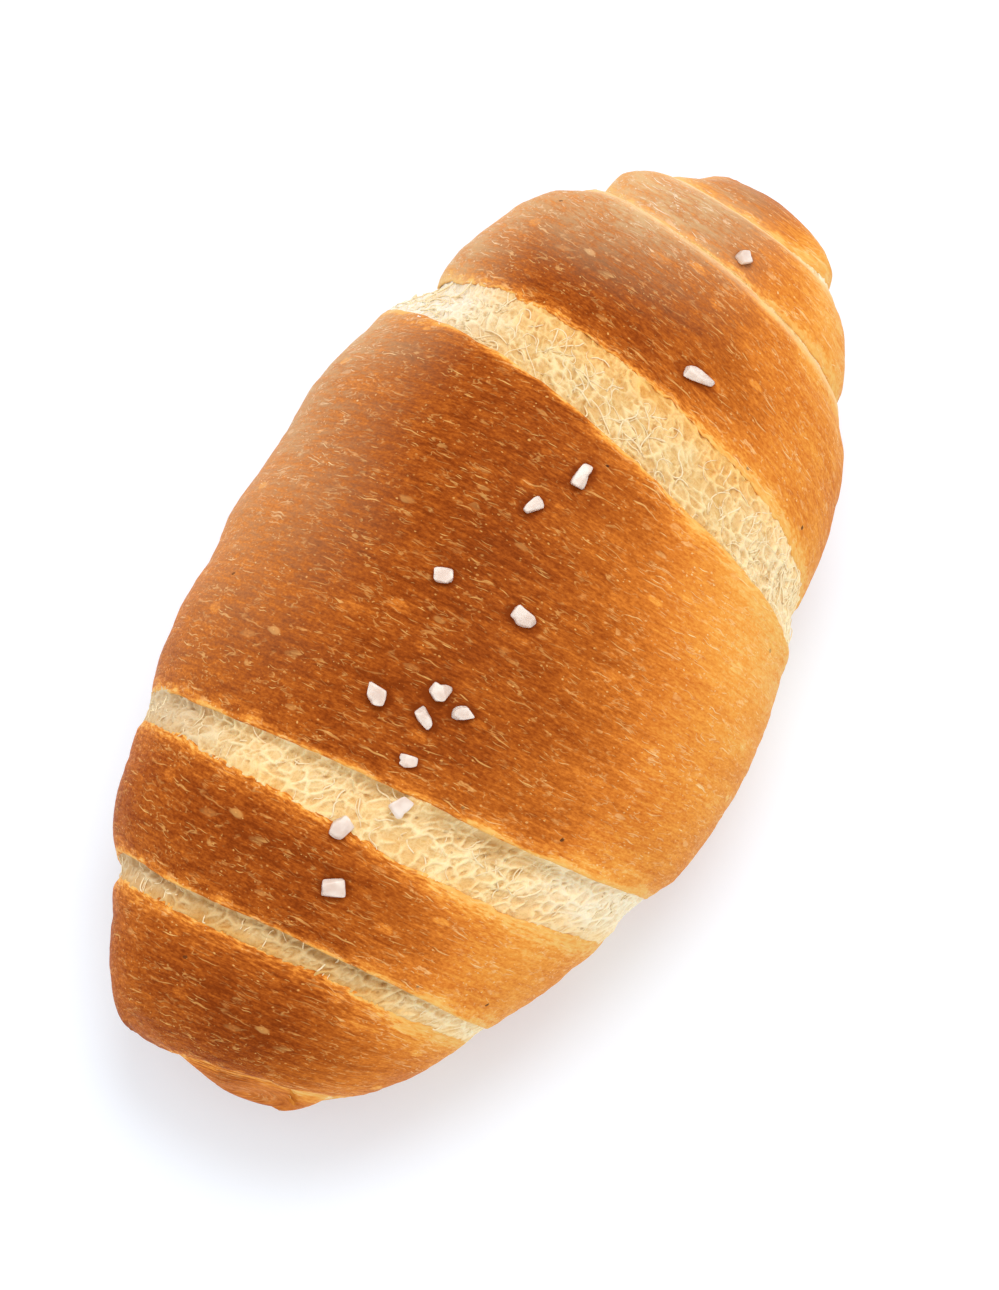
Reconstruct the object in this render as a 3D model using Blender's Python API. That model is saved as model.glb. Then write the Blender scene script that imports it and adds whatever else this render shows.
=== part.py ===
"""Salt bread roll: a long triangle of dough rolled up from its wide end, baked with coarse salt on top.

The crust is one closed form. Its plain outline is a rounded loaf, and every turn of the dough's two edges
lies on it as a lip, with a groove beyond the lip and the older, thinner wrap below. X runs along the roll,
Y across it and Z up, and the roll rests on the flat of its underside. Lengths are in metres.
"""

import math

import bmesh
import bpy
import numpy as np
from mathutils import Matrix, Vector

MM = 0.001

# Loaf
HALF_LENGTH = 63.9 * MM
LEFT_HALF_WIDTH = 32.85 * MM
RIGHT_HALF_WIDTH = 33.0 * MM
CROWN_RISE = 26.5 * MM
BELLY_DROP = 24.5 * MM
AXIS_HEIGHT = 20.0 * MM
TIP_HEIGHT = 16.0 * MM
FLAT_BLEND = 1.2 * MM
MEAN_RADIUS = 28.0 * MM
MIDDLE_SHIFT = (0.25 * MM, 0.1 * MM, 0.0)

# How full each quarter of the plan outline is: power of the length share, then root of the rest
FAR_LEFT = (2.4, 2.0)
FAR_RIGHT = (1.6, 2.35)
NEAR_LEFT = (1.7, 2.9)
NEAR_RIGHT = (2.0, 2.25)

# Dough edges, every sixth of a turn from the left side over the top, tip first, in millimetres.
# The lip is measured over the crust from the middle, the gap is the bare crumb beyond the lip,
# the step is what the wrap below lies deeper, and the groove is what the seam sinks on top of that.
FAR_EDGE = {
    "lip": (62.5, 60.4, 58.6, 58.2, 57.4, 55.8, 54.4, 50.2, 46.0, 42.8, 36.5, 30.0,
            24.8, 21.9, 16.2, 13.4, 10.5, 6.0, 2.0),
    "gap": (1.2, 1.4, 2.0, 3.0, 2.4, 1.8, 1.2, 1.2, 1.6, 2.6, 4.0, 6.0,
            7.4, 8.5, 9.6, 7.4, 3.0, 2.0, 2.0),
    "step": (0.0, 0.4, 0.5, 0.5, 0.5, 0.6, 0.6, 0.6, 0.6, 0.8, 1.0, 1.2,
             1.3, 1.3, 1.6, 2.2, 1.5, 0.7, 0.0),
    "groove": (0.0, 1.2, 1.1, 1.1, 1.1, 1.2, 1.4, 1.1, 1.0, 1.1, 0.8, 0.7,
               0.6, 0.6, 0.7, 1.0, 0.8, 0.5, 0.2),
}
NEAR_EDGE = {
    "lip": (-72.0, -70.9, -68.2, -61.0, -55.5, -50.5, -46.8, -48.6, -46.2, -42.2, -37.5, -32.5,
            -28.3, -28.9, -25.8, -18.8, -15.0, -12.0, -10.0),
    "gap": (0.8, 0.8, 1.0, 1.6, 2.0, 3.0, 3.4, 3.1, 3.6, 3.0, 3.0, 3.0,
            3.3, 5.4, 7.9, 7.6, 3.0, 2.0, 2.0),
    "step": (0.0, 0.4, 0.6, 0.8, 0.9, 1.0, 1.1, 0.9, 0.8, 0.7, 0.5, 0.3,
             0.3, 0.6, 1.3, 1.9, 1.3, 0.7, 0.0),
    "groove": (0.0, 0.5, 0.6, 0.7, 0.8, 1.1, 1.3, 0.8, 0.7, 0.7, 0.6, 0.5,
               0.4, 0.5, 0.6, 0.7, 0.5, 0.4, 0.2),
}
EDGES = ((1, FAR_EDGE), (-1, NEAR_EDGE))
TURNS = 3
STATIONS_PER_TURN = 6
LIP_WALL = 0.9 * MM
SHOULDER_REACH = 4.0 * MM
STEP_SHOULDER = 0.25
GROOVE_SHOULDER = 0.5

# Outline trim, every 3 mm along the roll from -66 mm: how much lower its left and right sides lie, in
# millimetres, negative where they swell
TRIM_START = -66.0 * MM
TRIM_STEP = 3.0 * MM
LEFT_TRIM = (-0.3, -0.5, -0.4, -0.1, -0.1, -0.8, 0.6, 0.0, -0.2, -0.3, 0.0, -0.4,
             0.3, -0.1, -0.4, -0.3, -0.4, -0.1, 0.4, 0.3, -0.2, -0.1, 0.1, 0.2,
             0.2, -0.2, -0.5, -0.4, -0.1, 0.1, -0.2, 0.9, 1.7, 0.2, -0.3, -0.4,
             -0.5, -0.9, -0.6, 0.4, 0.0, -0.9, -0.3, 0.0, 0.5, -0.3)
RIGHT_TRIM = (-0.5, -0.4, -0.3, -0.1, 0.2, -0.1, -0.2, -0.4, 0.3, 0.3, 0.0, -0.2,
              -0.4, -1.1, -1.2, -0.1, 0.1, -0.7, -0.7, -0.5, -0.4, -0.3, -0.2, 0.4,
              0.5, 0.7, 0.8, 0.1, 0.4, -0.5, -0.3, -0.4, -0.4, -0.2, -0.3, -0.1,
              0.5, 0.1, -0.1, 0.0, -0.1, 0.0, -0.7, -1.2, -0.6, -0.2)

# Dents in the loaf: distance along the roll (mm), angle (degrees), reach along (mm) and round (degrees), and
# depth (mm, negative for a swelling)
DENTS = ((-73.0, -35, 4.0, 48, 1.9), (-65.5, -14, 3.0, 24, -0.8), (-64.5, 222, 4.0, 36, -0.8))

# Foot: the part of the underside that touches the board, a little waisted between its four corners
FOOT_HALF_LENGTH = 28.0 * MM
FOOT_HALF_WIDTH = 14.5 * MM
FOOT_START = math.radians(239.9)
FOOT_END = math.radians(300.1)
FOOT_WAIST = 0.03
FOOT_HEIGHT = 0.25 * MM

# Mesh
SECTORS = 60
LIP_ROW = 1.1 * MM
BELLY_START = math.radians(210)
BELLY_END = math.radians(330)
ROWS_PER_GAP = (1, 2, 4)
ROWS_PER_WRAP = (3, 4, 8, 18)

# Salt: place over the crust from the middle (mm), angle round the roll (degrees),
# length and width (mm), and turn against the roll's length (degrees)
SALT = (
    (51.0, 100, 2.3, 1.6, 20), (31.8, 105, 4.3, 1.9, 78), (12.9, 95, 3.4, 2.1, -10),
    (6.9, 90, 2.4, 2.0, 30), (-4.9, 83, 2.5, 2.1, 60), (-4.7, 100, 3.0, 2.1, 80),
    (-20.1, 84, 2.8, 2.5, 10), (-16.4, 94, 2.9, 2.4, 40), (-19.6, 94, 3.0, 1.6, 115),
    (-17.0, 100, 2.8, 1.6, -40), (-24.6, 96, 2.4, 1.6, 70), (-29.2, 100, 2.4, 1.9, 0),
    (-34.6, 91, 2.8, 2.3, 30), (-40.7, 97, 3.0, 2.3, 75),
)
SALT_HEIGHT_SHARE = 0.7
SALT_SUNK_SHARE = 0.3
SALT_UNEVENNESS = 0.16
SALT_SEED = 11


def clear_scene():
    """Removes every object, so that the script can be run again."""
    for obj in list(bpy.data.objects):
        bpy.data.objects.remove(obj, do_unlink=True)


def girth_share(x, far, near):
    """Share of the full girth at x: (1 - |x / half length| ^ power) ^ (1 / root), by the end x is in."""
    share = np.clip(np.abs(x) / HALF_LENGTH, 0, 1)
    power = np.where(x > 0, far[0], near[0])
    root = np.where(x > 0, far[1], near[1])
    return np.clip(1 - share ** power, 0, 1) ** (1 / root)


def mean_pair(first, second):
    """Halfway between two pairs."""
    return tuple((a + b) / 2 for a, b in zip(first, second))


def length_table():
    """Distance over the crust from the middle against x, along the mean side of the loaf."""
    theta = np.linspace(-np.pi / 2, np.pi / 2, 2001)
    x = HALF_LENGTH * np.sin(theta)
    girth = girth_share(x, mean_pair(FAR_LEFT, FAR_RIGHT), mean_pair(NEAR_LEFT, NEAR_RIGHT))
    arc = np.concatenate([[0], np.cumsum(np.hypot(np.diff(x), np.diff(girth * MEAN_RADIUS)))])
    return arc - np.interp(0, theta, arc), x, girth


ARC_TABLE, X_TABLE, GIRTH_TABLE = length_table()
NEAR_TIP = float(ARC_TABLE[0])
FAR_TIP = float(ARC_TABLE[-1])


def loaf(arc, angle):
    """Point of the plain loaf: an upright oval at x, with its own reach to each side, up and down."""
    x = np.interp(arc, ARC_TABLE, X_TABLE)
    girth = np.interp(arc, ARC_TABLE, GIRTH_TABLE)
    across, rise = np.cos(angle), np.sin(angle)
    left = LEFT_HALF_WIDTH * girth_share(x, FAR_LEFT, NEAR_LEFT)
    right = RIGHT_HALF_WIDTH * girth_share(x, FAR_RIGHT, NEAR_RIGHT)
    y = np.where(across > 0, left, right) * across
    axis = TIP_HEIGHT + (AXIS_HEIGHT - TIP_HEIGHT) * girth
    z = axis + np.where(rise > 0, CROWN_RISE, BELLY_DROP) * girth * rise
    return np.stack(np.broadcast_arrays(x, y, z), -1)


def outward(arc, angle):
    """Unit normal of the plain loaf, from its slopes along the roll and round it."""
    reach, turn = 0.05 * MM, 0.002
    low = np.clip(arc - reach, NEAR_TIP + 0.02 * reach, FAR_TIP - 0.02 * reach)
    high = np.clip(arc + reach, NEAR_TIP + 0.02 * reach, FAR_TIP - 0.02 * reach)
    round_slope = loaf(arc, angle + turn) - loaf(arc, angle - turn)
    long_slope = loaf(high, angle) - loaf(low, angle)
    normal = np.cross(round_slope, long_slope)
    normal[..., 0] += np.sign(arc) * 1e-12
    return normal / np.linalg.norm(normal, axis=-1, keepdims=True)


def along_edge(values, turns):
    """Smooth curve through an edge's values, one for every sixth of a turn, in metres."""
    inner = np.asarray(values) * MM
    stations = np.concatenate([[2 * inner[0] - inner[1]], inner, [2 * inner[-1] - inner[-2]]])
    place = np.clip(turns * STATIONS_PER_TURN, 0, TURNS * STATIONS_PER_TURN - 1e-6)
    index = np.floor(place).astype(int)
    t = place - index
    a, b, c, d = (stations[index + k] for k in range(4))
    bend = (2 * a - 5 * b + 4 * c - d) * t ** 2
    twist = (3 * b - a - 3 * c + d) * t ** 3
    return 0.5 * (2 * b + (c - a) * t + bend + twist)


def seam_sink(beyond, gap, step, groove):
    """Depth at a distance beyond a lip: round shoulders, a steep lip, the bare gap, the lower wrap."""
    drop = np.clip(beyond / LIP_WALL, 0, 1)
    drop = drop * drop * (3 - 2 * drop)
    inner = np.exp(np.clip(beyond, None, 0) / SHOULDER_REACH) * (1 - drop)
    outer = np.exp(-np.clip(beyond - gap, 0, None) / SHOULDER_REACH) * drop
    return step * (STEP_SHOULDER * inner + drop) + groove * (GROOVE_SHOULDER * inner + outer)


def wrap_sink(arc, angle):
    """How far the crust lies below the loaf: the sinks of every turn of both edges, added up."""
    share = np.mod(angle, 2 * np.pi) / (2 * np.pi)
    sink = np.zeros(np.broadcast(arc, angle).shape)
    for side, edge in EDGES:
        for turn in range(TURNS):
            lip, gap = (along_edge(edge[key], share + turn) for key in ("lip", "gap"))
            step, groove = (along_edge(edge[key], share + turn) for key in ("step", "groove"))
            sink += seam_sink(side * (arc - lip), gap, np.maximum(step, 0), np.maximum(groove, 0))
    return sink


def ease(share):
    """Eases a share from 0 to 1."""
    share = np.clip(share, 0, 1)
    return share * share * (3 - 2 * share)


def trim_sink(arc, angle):
    """Depth of the outline's trim, full at the sides, and of the dents, bells in distance and angle."""
    places = TRIM_START + TRIM_STEP * np.arange(len(LEFT_TRIM))
    across = np.cos(angle)
    left, right = (np.interp(arc, places, trim, 0, 0) * MM for trim in (LEFT_TRIM, RIGHT_TRIM))
    sink = left * ease((across - 0.5) / 0.4) + right * ease((-across - 0.5) / 0.4)
    for place, degrees, reach, spread, depth in DENTS:
        off = np.mod(angle - math.radians(degrees) + np.pi, 2 * np.pi) - np.pi
        bell = ((arc - place * MM) / (reach * MM)) ** 2 + (off / math.radians(spread)) ** 2
        sink = sink + depth * MM * np.exp(-bell)
    return sink * ease((arc - NEAR_TIP) / (2 * MM)) * ease((FAR_TIP - arc) / (2 * MM))


def rest_flat(z):
    """Heights below the board are lifted to it, with a rounded change over the blend height."""
    rounded = (z + FLAT_BLEND) ** 2 / (4 * FLAT_BLEND)
    return np.where(z > FLAT_BLEND, z, np.where(z < -FLAT_BLEND, 0, rounded))


def crust(arc, angle):
    """Point of the crust at a distance along the roll and an angle round it, 0 at the left side."""
    sink = wrap_sink(arc, angle) + trim_sink(arc, angle)
    point = loaf(arc, angle) - outward(arc, angle) * sink[..., None]
    point[..., 2] = rest_flat(point[..., 2])
    return point + np.array(MIDDLE_SHIFT)


def closed(values, turn, angle):
    """An edge's values as a ring: true over the top, and halfway back to where the turn began underneath."""
    first = along_edge(values, turn + BELLY_START / (2 * np.pi))
    last = along_edge(values, turn + BELLY_END / (2 * np.pi) - 1)
    onward = along_edge(values, turn + angle / (2 * np.pi))
    back = along_edge(values, turn + angle / (2 * np.pi) - 1)
    leave = ease((angle - BELLY_START) / (FOOT_START - BELLY_START))
    arrive = ease((angle - FOOT_END) / (BELLY_END - FOOT_END))
    return onward * (1 - leave) + (first + last) / 2 * (leave - arrive) + back * arrive


def ring_places(angle):
    """Places along the roll of every ring of the mesh at the given angles, near tip first."""
    marks = [(np.full_like(angle, NEAR_TIP), ROWS_PER_WRAP[0])]
    for turn in range(TURNS):
        lip, gap = (closed(NEAR_EDGE[key], turn, angle) for key in ("lip", "gap"))
        marks.append((lip - LIP_WALL - gap, ROWS_PER_GAP[turn]))
        marks.append((lip - LIP_WALL, 1))
        marks.append((lip, 1))
        marks.append((lip + LIP_ROW, ROWS_PER_WRAP[turn + 1]))
    for turn in reversed(range(TURNS)):
        lip, gap = (closed(FAR_EDGE[key], turn, angle) for key in ("lip", "gap"))
        marks.append((lip - LIP_ROW, 1))
        marks.append((lip, 1))
        marks.append((lip + LIP_WALL, ROWS_PER_GAP[turn]))
        marks.append((lip + LIP_WALL + gap, ROWS_PER_WRAP[turn]))
    marks.append((np.full_like(angle, FAR_TIP), 1))
    places = []
    for (start, rows), (end, _) in zip(marks, marks[1:]):
        places.extend(start + (end - start) * row / rows for row in range(rows))
    return np.array(places + [marks[-1][0]])


def set_down(place, angle):
    """Stands the roll on its foot: a flat field whose sides run straight but for a slight waist."""
    turn = np.mod(angle, 2 * np.pi)
    foot = (turn > FOOT_START) & (turn < FOOT_END) & (np.abs(place[:, 0]) < FOOT_HALF_LENGTH)
    length = np.abs(place[foot, 0]).max()
    along = place[foot, 0] / length
    across = (turn[foot] - 1.5 * np.pi) / (FOOT_END - 1.5 * np.pi)
    place[:, 2] = np.maximum(place[:, 2], FOOT_HEIGHT)
    place[foot, 0] *= 1 - FOOT_WAIST * (1 - across ** 2)
    place[foot, 1] = FOOT_HALF_WIDTH * across * (1 - FOOT_WAIST * (1 - along ** 2))
    place[foot, 2] = 0
    return place


def crust_material():
    """Baked crust: a warm brown with a slight shine."""
    material = bpy.data.materials.new("crust")
    material.use_nodes = True
    shader = material.node_tree.nodes["Principled BSDF"]
    shader.inputs["Base Color"].default_value = (0.47, 0.17, 0.045, 1.0)
    shader.inputs["Roughness"].default_value = 0.42
    shader.inputs["Metallic"].default_value = 0.0
    return material


def make_roll(collection):
    """The roll: a sphere whose rings follow the dough's edges, every point moved onto the crust."""
    rings = len(ring_places(np.zeros(1)))
    bm = bmesh.new()
    bmesh.ops.create_uvsphere(bm, u_segments=SECTORS, v_segments=rings - 1, radius=1.0)
    sphere = np.array([vertex.co[:] for vertex in bm.verts])
    ring = np.rint((np.arcsin(np.clip(sphere[:, 2], -1, 1)) / np.pi + 0.5) * (rings - 1)).astype(int)
    angle = np.mod(np.arctan2(sphere[:, 1], sphere[:, 0]) - (BELLY_END - 2 * np.pi), 2 * np.pi)
    angle += BELLY_END - 2 * np.pi
    arc = ring_places(angle)[ring, np.arange(len(ring))]
    for vertex, place in zip(bm.verts, set_down(crust(arc, angle), angle)):
        vertex.co = place
    mesh = bpy.data.meshes.new("salt_roll")
    bm.to_mesh(mesh)
    bm.free()
    mesh.shade_smooth()
    mesh.materials.append(crust_material())
    roll = bpy.data.objects.new("salt_roll", mesh)
    collection.objects.link(roll)
    return roll


def make_crystal(name, place, angle, length, width, turn, draw, collection):
    """One uneven grain of salt, standing on the crust along its normal and sunk a little into it."""
    arc, around = np.array([place * MM]), np.array([math.radians(angle)])
    up = Vector(outward(arc, around)[0])
    along = (Vector((1, 0, 0)) - up * up.x).normalized()
    along = Matrix.Rotation(math.radians(turn), 3, up) @ along
    height = width * SALT_HEIGHT_SHARE
    bm = bmesh.new()
    bmesh.ops.create_icosphere(bm, subdivisions=1, radius=0.5)
    frame = Matrix((along, up.cross(along), up)).transposed()
    seat = Vector(crust(arc, around)[0]) + up * height * MM * (0.5 - SALT_SUNK_SHARE)
    for vertex in bm.verts:
        uneven = 1 + draw.uniform(-SALT_UNEVENNESS, SALT_UNEVENNESS, 3)
        size = Vector((length * uneven[0], width * uneven[1], height * uneven[2])) * MM
        vertex.co = seat + frame @ Vector(a * b for a, b in zip(vertex.co, size))
    mesh = bpy.data.meshes.new(name)
    bm.to_mesh(mesh)
    bm.free()
    crystal = bpy.data.objects.new(name, mesh)
    crystal.hide_render = True
    crystal.display_type = "WIRE"
    collection.objects.link(crystal)
    return crystal


def fuse(roll, toppings):
    """Joins the toppings to the roll in one Boolean union and removes them and their collection."""
    union = roll.modifiers.new("salt", "BOOLEAN")
    union.operation = "UNION"
    union.operand_type = "COLLECTION"
    union.collection = toppings
    union.solver = "EXACT"
    evaluated = roll.evaluated_get(bpy.context.evaluated_depsgraph_get())
    joined = bpy.data.meshes.new_from_object(evaluated)
    roll.modifiers.clear()
    roll.data = joined
    for obj in list(toppings.objects):
        bpy.data.objects.remove(obj, do_unlink=True)
    bpy.data.collections.remove(toppings)


def main():
    """Models the roll with its salt."""
    clear_scene()
    parts = bpy.data.collections.new("salt_bread_roll")
    toppings = bpy.data.collections.new("salt_crystals")
    bpy.context.scene.collection.children.link(parts)
    bpy.context.scene.collection.children.link(toppings)
    roll = make_roll(parts)
    draw = np.random.default_rng(SALT_SEED)
    for number, grain in enumerate(SALT, 1):
        make_crystal(f"salt_{number}", *grain, draw, toppings)
    bpy.context.view_layer.update()
    fuse(roll, toppings)


main()
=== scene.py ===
"""Salt bread roll: the baked crust, the bare crumb in its seams and the salt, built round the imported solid.

The file is laid out as an add-on and runs as a script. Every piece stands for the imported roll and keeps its
axes: X along the roll, Y across it, Z up, the board at zero. Lengths are in metres.
"""

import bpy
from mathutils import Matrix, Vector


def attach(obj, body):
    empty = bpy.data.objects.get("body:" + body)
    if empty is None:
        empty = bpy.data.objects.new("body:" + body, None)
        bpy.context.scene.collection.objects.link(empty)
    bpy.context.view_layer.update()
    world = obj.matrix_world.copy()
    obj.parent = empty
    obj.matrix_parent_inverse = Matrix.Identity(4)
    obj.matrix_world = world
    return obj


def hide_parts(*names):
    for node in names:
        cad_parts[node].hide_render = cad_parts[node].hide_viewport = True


bl_info = {
    "name": "Salt Bread Roll",
    "version": (1, 0, 0),
    "blender": (4, 5, 0),
    "location": "3D View > Sidebar > Salt Roll",
    "description": "Builds a baked roll with overlapping wraps, bare crumb seams and coarse salt",
    "category": "Add Mesh",
}

import bpy
import numpy as np
from bpy.props import FloatProperty, FloatVectorProperty, PointerProperty

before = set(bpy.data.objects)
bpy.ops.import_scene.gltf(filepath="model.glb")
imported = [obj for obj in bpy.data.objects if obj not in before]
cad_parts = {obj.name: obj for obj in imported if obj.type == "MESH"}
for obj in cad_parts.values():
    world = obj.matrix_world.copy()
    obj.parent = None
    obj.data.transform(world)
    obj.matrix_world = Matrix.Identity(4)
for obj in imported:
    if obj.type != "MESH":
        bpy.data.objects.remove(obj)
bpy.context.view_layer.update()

MM = 0.001
TURN = 2 * np.pi

# Loaf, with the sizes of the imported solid. The girth draws in towards each end by a power and a root.
HALF_LENGTH = 63.9 * MM
LEFT_HALF_WIDTH = 32.85 * MM
RIGHT_HALF_WIDTH = 33.0 * MM
CROWN_RISE = 26.5 * MM
BELLY_DROP = 24.5 * MM
AXIS_HEIGHT = 20.0 * MM
TIP_HEIGHT = 16.0 * MM
FLAT_BLEND = 1.2 * MM
MEAN_RADIUS = 28.0 * MM
MIDDLE_SHIFT = (0.25 * MM, 0.1 * MM, 0.0)
FAR_LEFT = (2.4, 2.0)
FAR_RIGHT = (1.6, 2.35)
NEAR_LEFT = (1.7, 2.9)
NEAR_RIGHT = (2.0, 2.25)

# Dough edges, every sixth of a turn from the left side over the top, tip first, in millimetres: the lip's
# distance over the crust from the middle, the bare gap beyond it, the step down to the wrap below, and how
# far the seam sinks on top of that
FAR_EDGE = {
    "lip": (62.5, 60.4, 58.6, 58.2, 57.4, 55.8, 54.4, 50.2, 46.0, 42.8, 36.5, 30.0,
            24.8, 21.9, 16.2, 13.4, 10.5, 6.0, 2.0),
    "gap": (1.2, 1.4, 2.0, 3.0, 2.4, 1.8, 1.2, 1.2, 1.6, 2.6, 4.0, 6.0,
            7.4, 8.5, 9.6, 7.4, 3.0, 2.0, 2.0),
    "step": (0.0, 0.4, 0.5, 0.5, 0.5, 0.6, 0.6, 0.6, 0.6, 0.8, 1.0, 1.2,
             1.3, 1.3, 1.6, 2.2, 1.5, 0.7, 0.0),
    "groove": (0.0, 1.2, 1.1, 1.1, 1.1, 1.2, 1.4, 1.1, 1.0, 1.1, 0.8, 0.7,
               0.6, 0.6, 0.7, 1.0, 0.8, 0.5, 0.2),
}
NEAR_EDGE = {
    "lip": (-72.0, -70.9, -68.2, -61.0, -55.5, -50.5, -46.8, -48.6, -46.2, -42.2, -37.5, -32.5,
            -28.3, -28.9, -25.8, -18.8, -15.0, -12.0, -10.0),
    "gap": (0.3, 0.5, 1.4, 2.2, 2.0, 3.0, 3.4, 3.1, 3.6, 3.0, 3.0, 3.0,
            3.3, 5.4, 7.9, 7.6, 3.0, 2.0, 2.0),
    "step": (0.0, 0.4, 0.6, 0.8, 0.9, 1.0, 1.1, 0.9, 0.8, 0.7, 0.5, 0.3,
             0.3, 0.6, 1.3, 1.9, 1.3, 0.7, 0.0),
    "groove": (0.0, 0.5, 0.6, 0.7, 0.8, 1.1, 1.3, 0.8, 0.7, 0.7, 0.6, 0.5,
               0.4, 0.5, 0.6, 0.7, 0.5, 0.4, 0.2),
}
TURNS = 3
STATIONS_PER_TURN = 6

# Shoulders beside a seam: their reach, and the shares of its step and groove that the wrap on top sinks
SHOULDER_REACH = 4.0 * MM
STEP_SHOULDER = 0.25
GROOVE_SHOULDER = 0.5
CREASE_REACH = 1.8 * MM

# Underneath, each turn closes to a ring: it leaves its spiral between the first angles and meets it again
# between the last, and starts and ends that a little early and late
BELLY_START, FOOT_START = np.radians(210), np.radians(239.9)
FOOT_END, BELLY_END = np.radians(300.1), np.radians(330)
CORNER_EASE = np.radians(15)

# Seams from the near tip to the far tip: the edge, its turn, and the way the lip points along the roll
SEAMS = ((NEAR_EDGE, 0, -1), (NEAR_EDGE, 1, -1), (NEAR_EDGE, 2, -1),
         (FAR_EDGE, 2, 1), (FAR_EDGE, 1, 1), (FAR_EDGE, 0, 1))
BANDS = len(SEAMS) + 1

# For each seam, in millimetres: how thick the lip's edge is, how far the crumb hollows out beyond it, how deep
# it lies where the next crust starts, how deep a crease follows the seam, how ragged the two crust edges are,
# how fine the crumb's mesh is, and how far the pale rim of torn crust reaches
SEAM_LIP = (0.35, 0.65, 0.7, 0.5, 0.25, 0.25)
SEAM_HOLLOW = (0.1, 0.5, 0.5, 0.2, 0.05, 0.1)
SEAM_LEDGE = (0.08, 0.04, 0.04, 0.14, 0.02, 0.03)
SEAM_CREASE = (0.35, 0.0, 0.0, 0.0, 0.4, 0.6)
SEAM_RAGGED = (0.2, 0.3, 0.32, 0.45, 0.2, 0.25)
SEAM_SPACING = (0.22, 0.15, 0.14, 0.13, 0.2, 0.2)
SEAM_TORN_REACH = (1.4, 1.5, 1.3, 0.9, 0.6, 0.6)

# For each seam, as shares: how wide the hollow is within the gap, how strong the web is, how pale the crust's
# valley is, how creamy the crumb is all over, at the left and at the right, where the ends are partly
# painted light, how much painted shade it has in the hollow, all over and at the left, and how toasted it
# is at the left and at the right
SEAM_RIM = (0.2, 0.3, 0.3, 0.1, 0.2, 0.2)
SEAM_WEB = (0.5, 0.8, 0.85, 1.0, 0.45, 0.6)
SEAM_PALE = (0.0, 0.0, 0.0, 0.0, 0.7, 1.0)
SEAM_CREAM = (0.0, 0.0, 0.07, 0.0, 0.05, 0.1)
SEAM_LEFT_CREAM_AND_LIGHT = (0.0, 0.3, 0.4, 1.0, 0.3, 0.3)
SEAM_RIGHT_CREAM_AND_LIGHT = (0.0, 0.2, 0.45, 0.25, 0.3, 0.35)
SEAM_GLOOM = (0.0, 1.0, 0.2, 0.0, 0.0, 0.0)
SEAM_SHADE = (0.0, 0.8, 0.0, 0.2, 0.1, 0.1)
SEAM_LEFT_SHADE = (0.0, 0.9, 0.95, 0.3, 0.0, 0.0)
SEAM_LEFT_TOAST = (1.0, 0.9, 0.5, 0.9, 0.7, 0.6)
SEAM_RIGHT_TOAST = (0.7, 0.6, 1.3, 0.6, 0.5, 0.4)

# The golden neck of crust across the third seam: seam, angle (degrees), half width (mm)
NECK_SEAM, NECK_ANGLE, NECK_HALF_WIDTH = 2, 99.0, 1.5

# How far the flecks on each wrap turn away from the seams, as a slope
BAND_SHEAR = (0.0, 0.0, 0.0, 0.2, 0.0, 0.0, 0.0)

# Outline trim, every 3 mm along the roll from −66 mm: how much lower its left and right sides lie, in
# millimetres, negative where they swell
TRIM_START, TRIM_STEP = -66.0 * MM, 3.0 * MM
LEFT_TRIM = (-0.3, -0.5, -0.4, -0.1, -0.1, -0.8, 0.6, 0.0, -0.2, -0.3, 0.0, -0.4,
             0.3, -0.1, -0.4, -0.3, -0.4, -0.1, 0.4, 0.3, -0.2, -0.1, 0.1, 0.2,
             0.2, -0.2, -0.5, -0.4, -0.1, 0.1, -0.2, 0.9, 1.7, 0.2, -0.3, -0.4,
             -0.5, -0.9, -0.6, 0.4, 0.0, -0.9, -0.3, 0.0, 0.5, -0.3)
RIGHT_TRIM = (-0.5, -0.4, -0.3, -0.1, 0.2, -0.1, -0.2, -0.4, 0.3, 0.3, 0.0, -0.2,
              -0.4, -1.1, -1.2, -0.1, 0.1, -0.7, -0.7, -0.5, -0.4, -0.3, -0.2, 0.4,
              0.5, 0.7, 0.8, 0.1, 0.4, -0.5, -0.3, -0.4, -0.4, -0.2, -0.3, -0.1,
              0.5, 0.1, -0.1, 0.0, -0.1, 0.0, -0.7, -1.2, -0.6, -0.2)

# Dents in the loaf: distance along the roll (mm), angle (degrees), reach along (mm) and round (degrees), and
# depth (mm, negative for a swelling)
DENTS = ((-73.0, -35, 4.0, 48, 1.9), (-65.5, -14, 3.0, 24, -0.8), (-64.5, 222, 4.0, 36, -0.8))
TIP_REACH = 7.0 * MM

# Line of the darkest bake over the crown: distance along the roll (mm), angle (degrees), bake, and how much
# paler the right side is
CREST_ALONG = (-76, -57, -38, -19, -13, -2, 8, 33, 45, 60, 75)
CREST_ANGLE = (97, 97, 82, 92, 90, 88, 78, 74, 76, 80, 85)
CREST_BAKE = (0.80, 0.88, 0.84, 0.82, 0.82, 0.82, 0.82, 0.85, 0.73, 0.60, 0.64)
CREST_RIGHT = (0.30, 0.46, 0.57, 0.54, 0.52, 0.59, 0.67, 0.50, 0.50, 0.48, 0.40)
TIP_BAKE = 0.5
TRAY_BAKE = 0.55

# Unevenness of the crust's face, widest first: length along the wrap and width (mm), and share of the height
CRUST_SWELLS = ((14, 8, 1.0), (5, 2.6, 0.45), (2.6, 0.9, 0.26), (1.1, 0.45, 0.12))

# Waves of the crust's edges: length (mm), seed, and shares in a lip and in a torn edge
EDGE_WAVES = ((5, 40, 0.35, 0.8), (1.5, 50, 0.22, 0.55), (0.6, 60, 0.0, 0.3))
RAGGED_REACH = 1.5 * MM

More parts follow.
